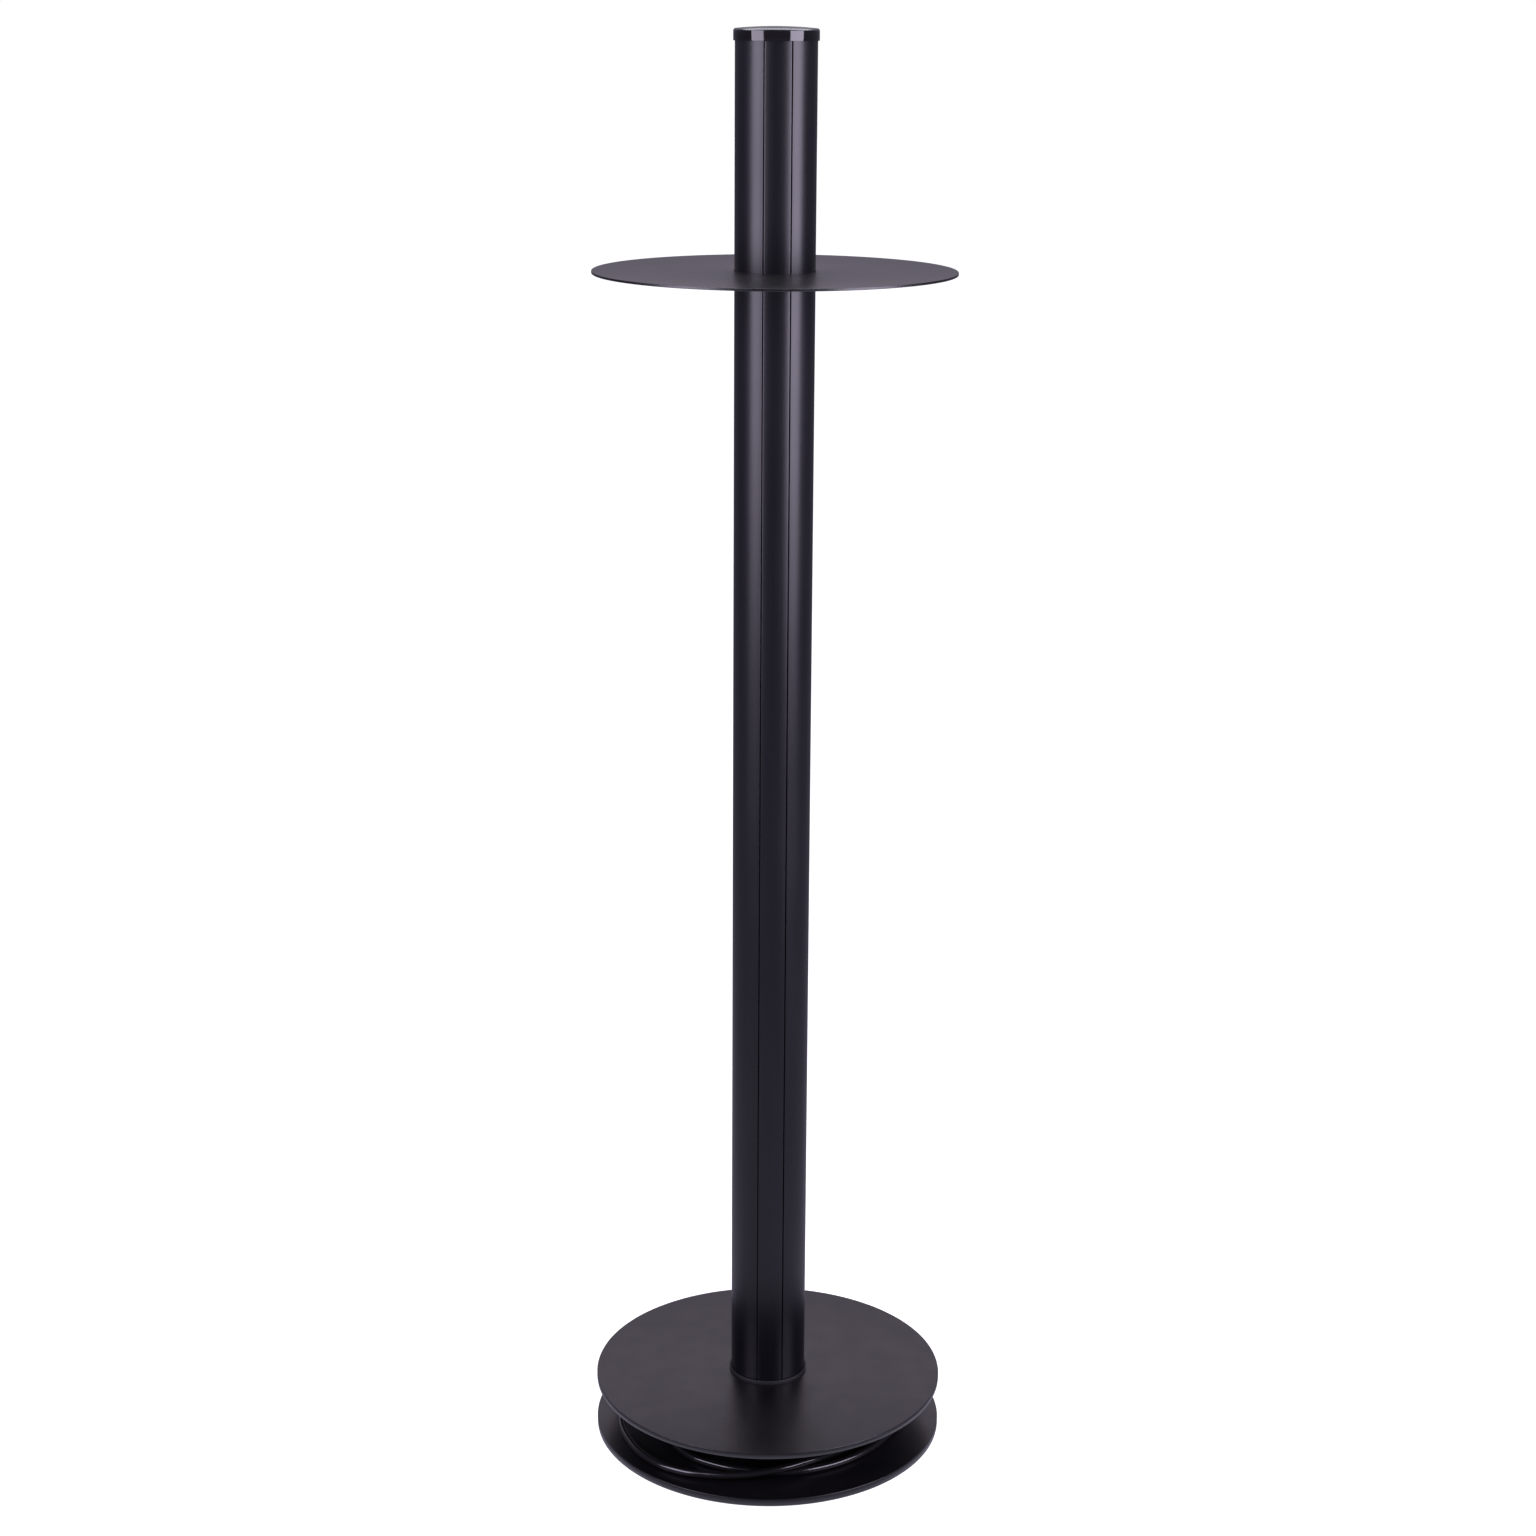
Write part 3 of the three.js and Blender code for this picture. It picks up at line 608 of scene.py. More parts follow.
def makePlug():
    body = turned("plugBody", plugProfile(), 96, sharpFrom=40)
    tools = [screwHole(0.0026, 0.0197, 0.03, (0, side * plug["pinX"]), 32) for side in (-1, 1)]
    # the two earth grooves at the sides of the collar and the hollows that a finger grips by
    for side in (-1, 1):
        x = side * plug["grooveX"]
        tools.append(boxPiece("groove", (x - 0.0016, -0.0031, 0.0105), (x + 0.0016, 0.0031, 0.03)))
    for side in (-1, 1):
        for i in range(plug["grips"]):
            z = -0.0105 + plug["gripPitch"] * i
            bar = boxPiece("grip", (-0.005, 0.0132, z), (0.005, 0.0170, z + 0.0008))
            tools.append(move(bar, Matrix.Rotation(math.pi / 2 * (1 - side), 4, "Z")))
    combine(body, tools, sharpFrom=30)
    dress(layPlug(body), "plug_rubber", nodes=("plug_body",))
    made = [body]
    r, root, tip = plug["pinRadius"], plug["pinFrom"], plug["pinReach"]
    shape = [(0, root), (r, root), (r, tip - 0.0022), (r * 0.86, tip - 0.0009)]
    shape += [(r * 0.5, tip - 0.0001), (0, tip)]
    for side, number in ((-1, 1), (1, 2)):
        pin = turned(f"plugPin{number}", shape, 40, sharpFrom=50)
        move(pin, Matrix.Translation((0, side * plug["pinX"], 0)))
        made.append(dress(layPlug(pin), "pin_nickel", nodes=(f"plug_pin_{number}",)))
        x = side * plug["earthX"]
        low, high = (x - 0.0003, -0.0024, 0.0115), (x + 0.0003, 0.0024, 0.0256)
        strip = boxPiece(f"plugEarth{number}", low, high, 0.0001)
        made.append(dress(layPlug(strip), "contact_brass"))
    return made


plugPieces = makePlug()

boot = {
    "inside": -0.0148,
    "sleeve": 0.00428,
    "radius": 0.0064,
    "ribs": 6,
    "ribFrom": 0.0128,
    "ribPitch": 0.0034,
    "taper": 0.00015,
    "groove": 0.0010,
}


def makeBoot():
    # tapered sleeve: smooth in the drum's wall, ringed with grooves where it bends
    end, inside = bootPlace["end"], boot["inside"]
    profile = [(boot["sleeve"], end), (boot["sleeve"], inside), (0.0060, inside), (0.0063, inside + 0.0004)]
    profile.append((boot["radius"], boot["ribFrom"] - 0.0003))
    for i in range(boot["ribs"]):
        z = boot["ribFrom"] + boot["ribPitch"] * i
        r = boot["radius"] - boot["taper"] * i
        waist = r - boot["groove"]
        profile += [(r, z), (r, z + 0.0019), (waist, z + 0.0022), (waist, z + 0.0031)]
    profile += [(0.0054, 0.0336), (0.0052, end - 0.0004), (0.0048, end)]
    piece = turned("cableBoot", profile, 64, sharpFrom=40)
    move(piece, Matrix.Translation(bootStart) @ alongWay(bootWay))
    return dress(piece, "plug_rubber", nodes=("cable_boot",))


bootPiece = makeBoot()

print("plug and boot made")

# base: plates, drum, pads and their screws
plate = {
    "edge": 0.0007,
    "screwHole": 0.0033,
    "sink": 0.0063,
    "sinkDepth": 0.0035,
    "blind": 0.0015,  # skin left over the four drum screws
    "cableHole": 0.014,
    "cableAt": (0.012, 0.021),
}
drum = {"wall": 0.014, "outerEdge": 0.0012, "innerEdge": 0.0006, "cableBore": 0.007}


def discProfile(inner, outer, z0, z1, edge):
    corners = [(outer, z0, edge), (outer, z1, edge), (inner, z1), (inner, z0)]
    if inner > 0:
        corners[2:] = [(inner, z1, edge * 0.5), (inner, z0, edge * 0.5)]
        return rounded(corners, 4)
    outline = rounded(corners, 4)
    return [(0, z0)] + outline[:-2] + [(0, z1)]


tiePlaces = [around(0.091, 45 + 90 * i) for i in range(4)]
portPlaces = [around(0.034, a) for a in (22, 158, 202, -22)]


def makePlates():
    for name, node in (("upperPlate", "upper_plate"), ("lowerPlate", "lower_plate")):
        low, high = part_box(node)
        bottom, top = low.z - past, high.z + past
        r = plate["screwHole"]
        piece = turned(name, discProfile(0, high.x, low.z, high.z, plate["edge"]), 288)
        if node == "lower_plate":
            sink = [(0, bottom), (plate["sink"], bottom), (plate["sink"], low.z)]
            sink += [(r, low.z + plate["sinkDepth"]), (r, top), (0, top)]
            tools = [move(turned("hole", sink, 48), Matrix.Translation(p)) for p in tiePlaces]
        else:
            tools = [screwHole(plate["cableHole"], bottom, top, plate["cableAt"])]
            tools += [screwHole(r, bottom, top, p) for p in portPlaces]
            tools += [screwHole(r, bottom, high.z - plate["blind"], p) for p in tiePlaces]
        combine(piece, tools)
        dress(piece, "powder_coat", nodes=(node,))


def makeDrum():
    low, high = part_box("cable_drum")
    outer, inner = high.x, high.x - drum["wall"]
    corners = [(outer, low.z, drum["outerEdge"]), (outer, high.z, drum["outerEdge"])]
    corners += [(inner, high.z, drum["innerEdge"]), (inner, low.z, drum["innerEdge"])]
    piece = turned("cableDrum", rounded(corners, 4), 224)
    bore = rod(drum["cableBore"], -0.03, 0.03, 48)
    tools = [move(bore, Matrix.Translation(bootStart) @ alongWay(bootWay))]
    tools += [screwHole(plate["screwHole"], low.z - past, high.z + past, p, 24) for p in tiePlaces]
    combine(piece, tools)
    dress(piece, "drum_plastic", nodes=("cable_drum",))


pad = {"dish": 0.0006, "dimple": 0.0045, "groove": (0.0088, 0.0118)}


def makePads():
    for i in range(4):
        node = f"floor_pad_{i + 1}"
        low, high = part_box(node)
        centre = (low + high) / 2
        r = (high.x - low.x) / 2
        # a dimple and a ring groove in the sole
        dish, dimple, (a, b) = pad["dish"], pad["dimple"], pad["groove"]
        profile = [(0, dish), (dimple, dish), (dimple + 0.0003, 0), (a - 0.0003, 0), (a, dish)]
        profile += [(b, dish), (b + 0.0003, 0), (r - 0.0008, 0), (r - 0.0003, 0.0002), (r, 0.0007)]
        profile += [(r, high.z - 0.0003), (r - 0.0003, high.z), (0, high.z)]
        piece = turned(f"floorPad{i + 1}", profile, 96, sharpFrom=30)
        move(piece, Matrix.Translation((centre.x, centre.y, 0)))
        dress(piece, "pad_rubber", nodes=(node,))


def hexKey(radius, z0, z1):
    return turned("key", [(0, z0), (radius, z0), (radius, z1), (0, z1 + 0.0004)], 6)


tieScrew = {"head": 0.0060, "headDepth": 0.0032, "shank": 0.0030, "key": 0.0023, "keyDepth": 0.0022}


def makeTieScrews():
    for i, place in enumerate(tiePlaces):
        node = f"drum_screw_{i + 1}"
        low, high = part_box(node)
        head, shank = tieScrew["head"], tieScrew["shank"]
        profile = [(0, low.z), (head - 0.0004, low.z), (head, low.z + 0.0003)]
        profile += [(shank, low.z + tieScrew["headDepth"]), (shank, high.z - 0.0008)]
        profile += [(shank - 0.0006, high.z), (0, high.z)]
        screw = turned(f"drumScrew{i + 1}", profile, 48, sharpFrom=30)
        key = hexKey(tieScrew["key"], low.z - past, low.z + tieScrew["keyDepth"])
        combine(screw, [key], sharpFrom=30)
        move(screw, Matrix.Translation(place))
        dress(screw, "zinc_steel", nodes=(node,))


makePlates()
makeDrum()
makePads()
makeTieScrews()
print("base made")

# column: extrusion with its channels, cover strips, foot ring and cap
column = {
    "outer": 0.040,
    "inner": 0.0375,
    "frontSlot": 20.9,  # half of the slot, in degrees
    "rearSlot": 40.5,
    "lip": 0.036,  # the slot is cut from here out
    "cutTo": 0.043,
    "frontWall": 0.0146,
    "frontWallY": -0.0352,
    "frontWeb": -0.027,
    "rearWall": 0.0266,
    "rearWallY": 0.027,
    "wall": 0.0018,
    "port": 0.005,
    "break": 0.00025,  # broken edges along the slots
}


def ringSector(centre, half, inner, outer, steps):
    outline = arcPoints(outer, centre - half, centre + half, steps)
    return outline + arcPoints(inner, centre + half, centre - half, steps)


def slotTool(centre, half, z0, z1):
    # the slot through the skin, with its outer edges broken
    away = math.degrees(column["break"] / column["outer"])
    edge = column["outer"] - column["break"]
    skin = column["outer"] + 0.00002
    left, right = centre - half, centre + half
    outline = arcPoints(column["lip"], right, left, 24)
    outline += [flat(around(edge, left)), flat(around(skin, left - away))]
    outline += arcPoints(column["cutTo"], left - away, right + away, 24)
    outline += [flat(around(skin, right + away)), flat(around(edge, right))]
    return extruded("slot", outline, z0 - past, z1 + past)


def makeProfile():
    low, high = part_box("column_profile")
    z0, z1 = low.z, high.z
    r0, r1 = column["inner"], column["outer"]
    tube = turned("columnProfile", [(r1, z0), (r1, z1), (r0, z1), (r0, z0)], 240)
    t = column["wall"]
    fx, rx, web = column["frontWall"], column["rearWall"], column["frontWeb"]
    walls = []
    for s in (-1, 1):
        x = sorted((s * fx, s * (fx + t)))
        walls.append(boxPiece("wall", (x[0], column["frontWallY"], z0), (x[1], web, z1)))
        x = sorted((s * rx, s * (rx + t)))
        walls.append(boxPiece("wall", (x[0], 0, z0), (x[1], column["rearWallY"], z1)))
    walls.append(boxPiece("web", (-fx - t, web - t, z0), (fx + t, web, z1)))
    walls.append(boxPiece("web", (-rx - t, 0, z0), (rx + t, t, z1)))
    walls += [screwHole(column["port"], z0, z1, p, 40) for p in portPlaces]
    combine(tube, walls, "UNION")
    tools = [slotTool(-90, column["frontSlot"], z0, z1), slotTool(90, column["rearSlot"], z0, z1)]
    tools += [screwHole(plate["screwHole"], z0 - past, z1 + past, p, 32) for p in portPlaces]
    combine(tube, tools)
    dress(tube, "anodised_aluminium", nodes=("column_profile",))


def coverOutline(half, skin, leg):
    # seen from above with the strip towards -Y: outer arc, rounded ends, legs with barbs on the inside
    outer = column["outer"]
    inner = outer - skin
    nose = math.degrees(0.0005 / outer)
    left, right = -90 - half, -90 + half
    outline = arcPoints(outer, left + nose, right - nose, 48)
    outline += [flat(around(outer - 0.00015, right - nose * 0.3)), flat(around(outer - 0.0005, right))]
    outline += [flat(around(inner, right))]
    y = -leg["tip"]
    rightLeg = [
        (leg["x1"], -math.sqrt(inner**2 - leg["x1"] ** 2)),
        (leg["x1"], -leg["barb"]),
        (leg["barbX"], -leg["barb"] + 0.0001),
        (leg["x1"], -leg["barb"] + 0.0012),
        (leg["x1"], y - 0.0004),
        (leg["x1"] - 0.0004, y),
        (leg["x0"] + 0.0004, y),
        (leg["x0"], y - 0.0004),
        (leg["x0"], -math.sqrt(inner**2 - leg["x0"] ** 2)),
    ]
    across = math.degrees(math.asin((leg["x0"] - 0.0005) / inner))
    outline += rightLeg
    outline += arcPoints(inner, -90 + across, -90 - across, 20)
    outline += [(-x, legY) for x, legY in reversed(rightLeg)]
    outline += [flat(around(inner, left)), flat(around(outer - 0.0005, left))]
    return outline + [flat(around(outer - 0.00015, left + nose * 0.3))]


cover = {"skin": 0.002, "frontHalf": 19.1, "rearHalf": 39.8}  # halves in degrees
frontLeg = {"x0": 0.0104, "x1": 0.0118, "barbX": 0.014, "tip": 0.031, "barb": 0.0342}
rearLeg = {"x0": 0.0214, "x1": 0.0228, "barbX": 0.0254, "tip": 0.0245, "barb": 0.0272}


def makeCovers():
    covers = [
        ("frontCoverStrip", "front_cover_strip", cover["frontHalf"], frontLeg, 0),
        ("rearCoverLower", "rear_cover_lower", cover["rearHalf"], rearLeg, 180),
        ("rearCoverUpper", "rear_cover_upper", cover["rearHalf"], rearLeg, 180),
    ]
    for name, node, half, leg, degrees in covers:
        low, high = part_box(node)
        piece = extruded(name, coverOutline(half, cover["skin"], leg), low.z, high.z, sharpFrom=25)
        move(piece, Matrix.Rotation(math.radians(degrees), 4, "Z"))
        dress(piece, "anodised_aluminium", nodes=(node,))


footRing = {"gap": 0.0003, "outerEdge": 0.0004, "innerEdge": 0.0003}


def makeFootRing():
    low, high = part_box("foot_ring")
    inner = column["outer"] + footRing["gap"]
    corners = [(high.x, low.z), (high.x, high.z, footRing["outerEdge"])]
    corners += [(inner, high.z, footRing["innerEdge"]), (inner, low.z)]
    dress(turned("footRing", rounded(corners, 4), 224), "black_plastic", nodes=("foot_ring",))


cap = {"side": 0.0089, "round": 0.0027, "crown": 0.0018, "crownRings": 13, "peg": 0.003}


def capProfile(r, under, top):
    # straight side, rounded shoulder, and a shallow crown that the shoulder runs into
    shoulder = r - cap["round"]
    sphere = (shoulder**2 + cap["crown"] ** 2) / (2 * cap["crown"])
    lean = math.degrees(math.asin(shoulder / (sphere + cap["round"])))
    profile = [(0, under), (r - 0.0005, under), (r - 0.0001, under + 0.0001), (r, under + 0.0005)]
    for x, y in arcPoints(cap["round"], 0, 90 - lean, 10):
        profile.append((shoulder + x, under + cap["side"] + y))
    edge = profile[-1][0]
    for i in range(cap["crownRings"], 0, -1):
        out = edge * i / (cap["crownRings"] + 1)
        profile.append((out, top - sphere + math.sqrt(sphere**2 - out**2)))
    return profile + [(0, top)]


def makeCap():
    low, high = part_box("end_cap")
    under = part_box("column_profile")[1].z
    piece = turned("endCap", capProfile(high.x, under, high.z), 256, sharpFrom=40)
    r, root = cap["peg"], under + 0.001
    peg = [(0, low.z), (r - 0.0006, low.z), (r, low.z + 0.001), (r, root), (0, root)]
    pegs = [move(turned("peg", peg, 32), Matrix.Translation(place)) for place in portPlaces]
    combine(piece, pegs, "UNION")
    dress(piece, "cap_gloss", nodes=("end_cap",))


makeProfile()
makeCovers()
makeFootRing()
makeCap()
print("column made")

# shelf with its studs, collar and liner
shelf = {
    "thick": 0.0025,
    "edge": 0.0004,
    "bore": 0.0405,
    "studRadius": 0.002,
    "studPlace": 0.0515,
    "studLength": 0.012,
    "pitch": 0.0007,
    "nutBore": 0.0023,
}
studPlaces = [around(shelf["studPlace"], 45 + 90 * i) for i in range(4)]


def makeShelf():
    low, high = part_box("shelf_disc")
    under = high.z - shelf["thick"]
    piece = turned("shelfDisc", discProfile(shelf["bore"], high.x, under, high.z, shelf["edge"]), 288)
    r = shelf["studRadius"]
    stud = [(0, under + 0.0008)]
    stud += [(r + 0.0009, under + 0.0008), (r + 0.0009, under - 0.0002), (r, under - 0.0008)]
    for i in range(int((shelf["studLength"] - 0.003) / shelf["pitch"])):
        z = under - 0.0014 - shelf["pitch"] * i
        stud += [(r, z), (r - 0.0003, z - shelf["pitch"] / 2)]
    stud += [(r - 0.0004, low.z + 0.0002), (r - 0.0007, low.z), (0, low.z)]
    studs = [move(turned("stud", stud, 32, sharpFrom=20), Matrix.Translation(p)) for p in studPlaces]
    combine(piece, studs, "UNION")
    dress(piece, "powder_coat", "shelf", nodes=("shelf_disc",))


collar = {"inner": 0.0416, "outer": 0.057, "innerEdge": 0.0003, "outerEdge": 0.0009, "split": 0.00075}

collarScrew = {
    "x": 0.0493,
    "bore": 0.0023,
    "headBore": 0.0039,
    "head": 0.0035,
    "headFrom": -0.0155,
    "headTo": -0.0115,
    "shank": 0.0020,
    "tip": 0.016,
    "key": 0.0017,
    "keyDepth": 0.0021,
}


def makeCollar():
    low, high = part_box("collar_front")
    mid = (low.z + high.z) / 2
    for name, node, side in (("collarFront", "collar_front", -1), ("collarRear", "collar_rear", 1)):
        inner, outer = collar["inner"], collar["outer"]
        corners = [(outer, low.z, collar["outerEdge"]), (outer, high.z, collar["outerEdge"])]
        corners += [(inner, high.z, collar["innerEdge"]), (inner, low.z, collar["innerEdge"])]
        half = turned(name, rounded(corners, 4), 160)
        bottom, top = low.z - past, high.z + past
        near = sorted((-side * 0.07, side * collar["split"]))
        tools = [boxPiece("split", (-0.07, near[0], bottom), (0.07, near[1], top))]
        tools += [screwHole(shelf["nutBore"], bottom, top, p, 32) for p in studPlaces]
        for s in (-1, 1):
            x = s * collarScrew["x"]
            tools.append(faceOut(rod(collarScrew["bore"], -0.04, 0.017, 40), x, mid))
            tools.append(faceOut(rod(collarScrew["headBore"], -0.06, collarScrew["headTo"], 40), x, mid))
        combine(half, tools)
        dress(half, "black_steel", "shelf", nodes=(node,))
    head, under, neck = collarScrew["head"], collarScrew["headFrom"], collarScrew["headTo"]
    shank, tip = collarScrew["shank"], collarScrew["tip"]
    profile = [(0, under), (head - 0.0004, under), (head, under + 0.0004), (head, neck)]
    profile += [(shank, neck), (shank, tip - 0.0008), (shank - 0.0005, tip), (0, tip)]
    for s, number in ((-1, 1), (1, 2)):
        screw = turned(f"collarScrew{number}", profile, 40, sharpFrom=30)
        key = hexKey(collarScrew["key"], under - 0.0015, under + collarScrew["keyDepth"])
        combine(screw, [key], sharpFrom=30)
        faceOut(screw, s * collarScrew["x"], mid)
        dress(screw, "zinc_steel", "shelf", nodes=(f"collar_screw_{number}",))


nut = {"radius": 0.004, "flat": 0.0036, "chamfer": 0.0004}


def makeNuts():
    for i, place in enumerate(studPlaces):
        node = f"shelf_nut_{i + 1}"
        low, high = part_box(node)
        r, bore = nut["radius"], shelf["nutBore"]
        piece = turned(f"shelfNut{i + 1}", [(bore, low.z), (r, low.z), (r, high.z), (bore, high.z)], 6)
        # the lower corners of the hexagon are taken off by a cone
        bottom, top, wide = low.z - 0.0005, high.z + 0.0005, r + 0.0001
        cone = [(0, bottom), (nut["flat"], bottom), (nut["flat"], low.z), (wide, low.z + nut["chamfer"])]
        cone += [(wide, top), (0, top)]
        combine(piece, [turned("cone", cone, 48)], "INTERSECT", sharpFrom=25)
        move(piece, Matrix.Translation(place))
        dress(piece, "zinc_steel", "shelf", nodes=(node,))


liner = {"gap": 0.00035, "edge": 0.0002}


def makeLiner():
    low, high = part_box("collar_liner")
    inner = column["outer"] + liner["gap"]
    section = ((high.x, low.z), (high.x, high.z), (inner, high.z), (inner, low.z))
    corners = [(x, z, liner["edge"]) for x, z in section]
    piece = turned("collarLiner", rounded(corners, 2), 192)
    dress(piece, "black_plastic", "shelf", nodes=("collar_liner",))


makeShelf()
makeCollar()
makeNuts()
makeLiner()
print("shelf made")

# outlets at the back: frame, two earthed sockets, charger, contacts and screws
outlet = {"z": 1.365, "pitch": 0.045, "half": 0.02235, "face": 0.030, "back": 0.008, "corner": 0.0012}
socket = {
    "well": 0.0195,
    "depth": 0.0175,
    "pinX": 0.0095,
    "pinRadius": 0.0027,
    "earthAt": 0.018,
    "earthX": 0.0028,
    "earthZ": 0.001,
    "guide": 0.0028,
    "saddleX": 0.0032,
    "saddleZ": 0.0045,
    "saddleUp": 0.0016,
}


def moduleBlock(name, z):
    outline = roundedBox(outlet["half"], outlet["half"], outlet["corner"])
    block = extruded(name, outline, outlet["back"], outlet["face"], 0.0005)
    return faceOut(block, 0, z)


def makeSocket(name, node, z):
    face, back = outlet["face"], outlet["back"]
    floorY = face - socket["depth"]
    block = moduleBlock(name, z)
    r = socket["well"]
    well = [(0, floorY), (r - 0.0012, floorY), (r - 0.0003, floorY + 0.0003), (r, floorY + 0.0012)]
    well += [(r, face - 0.0012), (r + 0.0004, face - 0.0004), (r + 0.0013, face + 0.0001)]
    well += [(r + 0.0013, face + past), (0, face + past)]
    tools = [faceOut(turned("well", well, 96), 0, z)]
    p = socket["pinRadius"]
    mouth = [(0, back + 0.0015), (p, back + 0.0015), (p, floorY - 0.0006), (p + 0.0008, floorY + 0.0003)]
    mouth += [(p + 0.0008, floorY + past), (0, floorY + past)]
    for s in (-1, 1):
        tools.append(faceOut(turned("mouth", mouth, 40), s * socket["pinX"], z))
        earth, x, h = z + s * socket["earthAt"], socket["earthX"], socket["earthZ"]
        tools.append(boxPiece("slot", (-x, back - past, earth - h), (x, floorY + past, earth + h)))
    combine(block, tools)
    # guide ribs down both sides of the well, and the raised saddle between the pins
    ribs = []
    g, root = socket["guide"], floorY - 0.0005
    for s in (-1, 1):
        x = sorted((s * (r - 0.0021), s * (r + 0.0006)))
        ribs.append(boxPiece("guide", (x[0], root, z - g), (x[1], face - 0.0012, z + g), 0.0003))
    x, h, top = socket["saddleX"], socket["saddleZ"], floorY + socket["saddleUp"]
    ribs.append(boxPiece("saddle", (-x, root, z - h), (x, top, z + h), 0.0005))
    combine(block, ribs, "UNION")
    dress(block, "outlet_plastic", nodes=(node,))


# ports: half sizes, depth, height from the module's middle, and the corner of the lining
widePort = {"x": 0.0064, "z": 0.0027, "depth": 0.014, "up": 0.009, "shellCorner": 0.0004}
ovalPort = {"x": 0.0046, "z": 0.0017, "depth": 0.009, "up": -0.009, "shellCorner": 0.0017 * 0.95}
charger = {"panelX": 0.0125, "panelZ": 0.0165, "panelCorner": 0.002, "dish": 0.0004, "shellWall": 0.0003}


def makeCharger(z):
    face = outlet["face"]
    block = moduleBlock("chargerModule", z)
    x, h, up = widePort["x"], widePort["z"], z + widePort["up"]
    low, high = (-x, face - widePort["depth"], up - h), (x, face + past, up + h)
    tools = [boxPiece("port", low, high, 0.0004)]
    oval = roundedBox(ovalPort["x"], ovalPort["z"], ovalPort["z"] * 0.98, 8)
    port = extruded("port", oval, face - ovalPort["depth"], face + past)
    tools.append(faceOut(port, 0, z + ovalPort["up"]))
    # a shallow dished panel round the ports
    panel = roundedBox(charger["panelX"], charger["panelZ"], charger["panelCorner"], 6)
    tools.append(faceOut(extruded("dish", panel, face - charger["dish"], face + past), 0, z))
    combine(block, tools)
    root = face - widePort["depth"] - past
    tongues = [boxPiece("tongue", (-0.0056, root, up), (0.0056, face - 0.002, up + 0.0019), 0.0002)]
    root, up = face - ovalPort["depth"] - past, z + ovalPort["up"]
    low, high = (-0.0033, root, up - 0.00035), (0.0033, face - 0.0015, up + 0.00035)
    tongues.append(boxPiece("tongue", low, high, 0.0001))
    combine(block, tongues, "UNION")
    dress(block, "outlet_plastic", nodes=("charger_module",))
    makePortShell("chargerShellWide", widePort, widePort["shellCorner"] / 2, z)
    makePortShell("chargerShellRound", ovalPort, ovalPort["shellCorner"] - charger["shellWall"], z)


def makePortShell(name, port, innerCorner, z):
    # thin metal lining, a hair inside the port
    face, wall = outlet["face"], charger["shellWall"]
    x, h = port["x"] - 0.00005, port["z"] - 0.00005
    outerLine = roundedBox(x, h, port["shellCorner"], 8)
    innerLine = roundedBox(x - wall, h - wall, innerCorner, 8)
    shell = extruded(name, outerLine, face - port["depth"] + 0.0001, face - 0.0007)
    combine(shell, [extruded("hole", innerLine, face - port["depth"] - past, face)])
    dress(faceOut(shell, 0, z + port["up"]), "pin_nickel")


outletFrame = {"half": 39.8, "inner": 0.0282, "outer": 0.0399, "gap": 0.0003, "screwUp": 0.0709}


def makeFrame():
    low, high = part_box("outlet_frame")
    sector = ringSector(90, outletFrame["half"], outletFrame["inner"], outletFrame["outer"], 40)
    body = extruded("outletFrame", sector, low.z, high.z, 0.0003)
    z, face = outlet["z"], outlet["face"]
    half = outlet["half"] + outletFrame["gap"]
    tall = 1.5 * outlet["pitch"] + outletFrame["gap"]
    back = boxPiece("back", (-half - 0.001, 0.018, low.z), (half + 0.001, face, high.z))
    combine(body, [back], "UNION")
    tools = [boxPiece("face", (-0.03, face, low.z + 0.004), (0.03, 0.045, high.z - 0.004))]
    tools.append(boxPiece("window", (-half, 0.010, z - tall), (half, 0.045, z + tall)))
    for s in (-1, 1):
        tools.append(faceOut(rod(0.0017, 0.01, 0.04, 24), 0, z + s * outletFrame["screwUp"]))
    combine(body, tools)
    dress(body, "outlet_plastic", nodes=("outlet_frame",))


def makeFrameScrews():
    for number in (1, 2):
        node = f"outlet_screw_{number}"
        low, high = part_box(node)
        profile = [(0, 0.014), (0.0011, 0.014), (0.0015, 0.0145), (0.0015, 0.030), (0.0027, 0.030)]
        profile += [(0.0027, 0.0306), (0.0024, 0.0312), (0.0016, 0.0315), (0, 0.0316)]
        screw = turned(f"outletScrew{number}", profile, 40, sharpFrom=30)
        slots = [boxPiece("cross", (-0.0016, -0.0003, 0.0309), (0.0016, 0.0003, 0.0325))]
        slots.append(boxPiece("cross", (-0.0003, -0.0016, 0.0309), (0.0003, 0.0016, 0.0325)))
        combine(screw, slots, sharpFrom=30)
        dress(faceOut(screw, 0, (low.z + high.z) / 2), "black_steel", nodes=(node,))


makeFrame()
makeSocket("socketLower", "socket_lower", outlet["z"] - outlet["pitch"])
makeSocket("socketUpper", "socket_upper", outlet["z"])
makeCharger(outlet["z"] + outlet["pitch"])
makeFrameScrews()
print("outlets made")

# what stays as the frame has it: each gets its finish and broken edges
keptNodes = {
    "zinc_steel": [f"column_bolt_{i}" for i in (1, 2, 3, 4)] + ["clamp_screw_1", "clamp_screw_2"],
    "contact_brass": ["earth_contact_lower", "earth_contact_upper"],
    "terminal_plastic": ["terminal_block"],
    "black_plastic": ["cord_clamp"],
    "wire_brown": ["live_conductor"],
    "wire_blue": ["neutral_conductor"],
    "wire_green": ["earth_conductor"],
    "lead_pvc": ["supply_cable"],
}


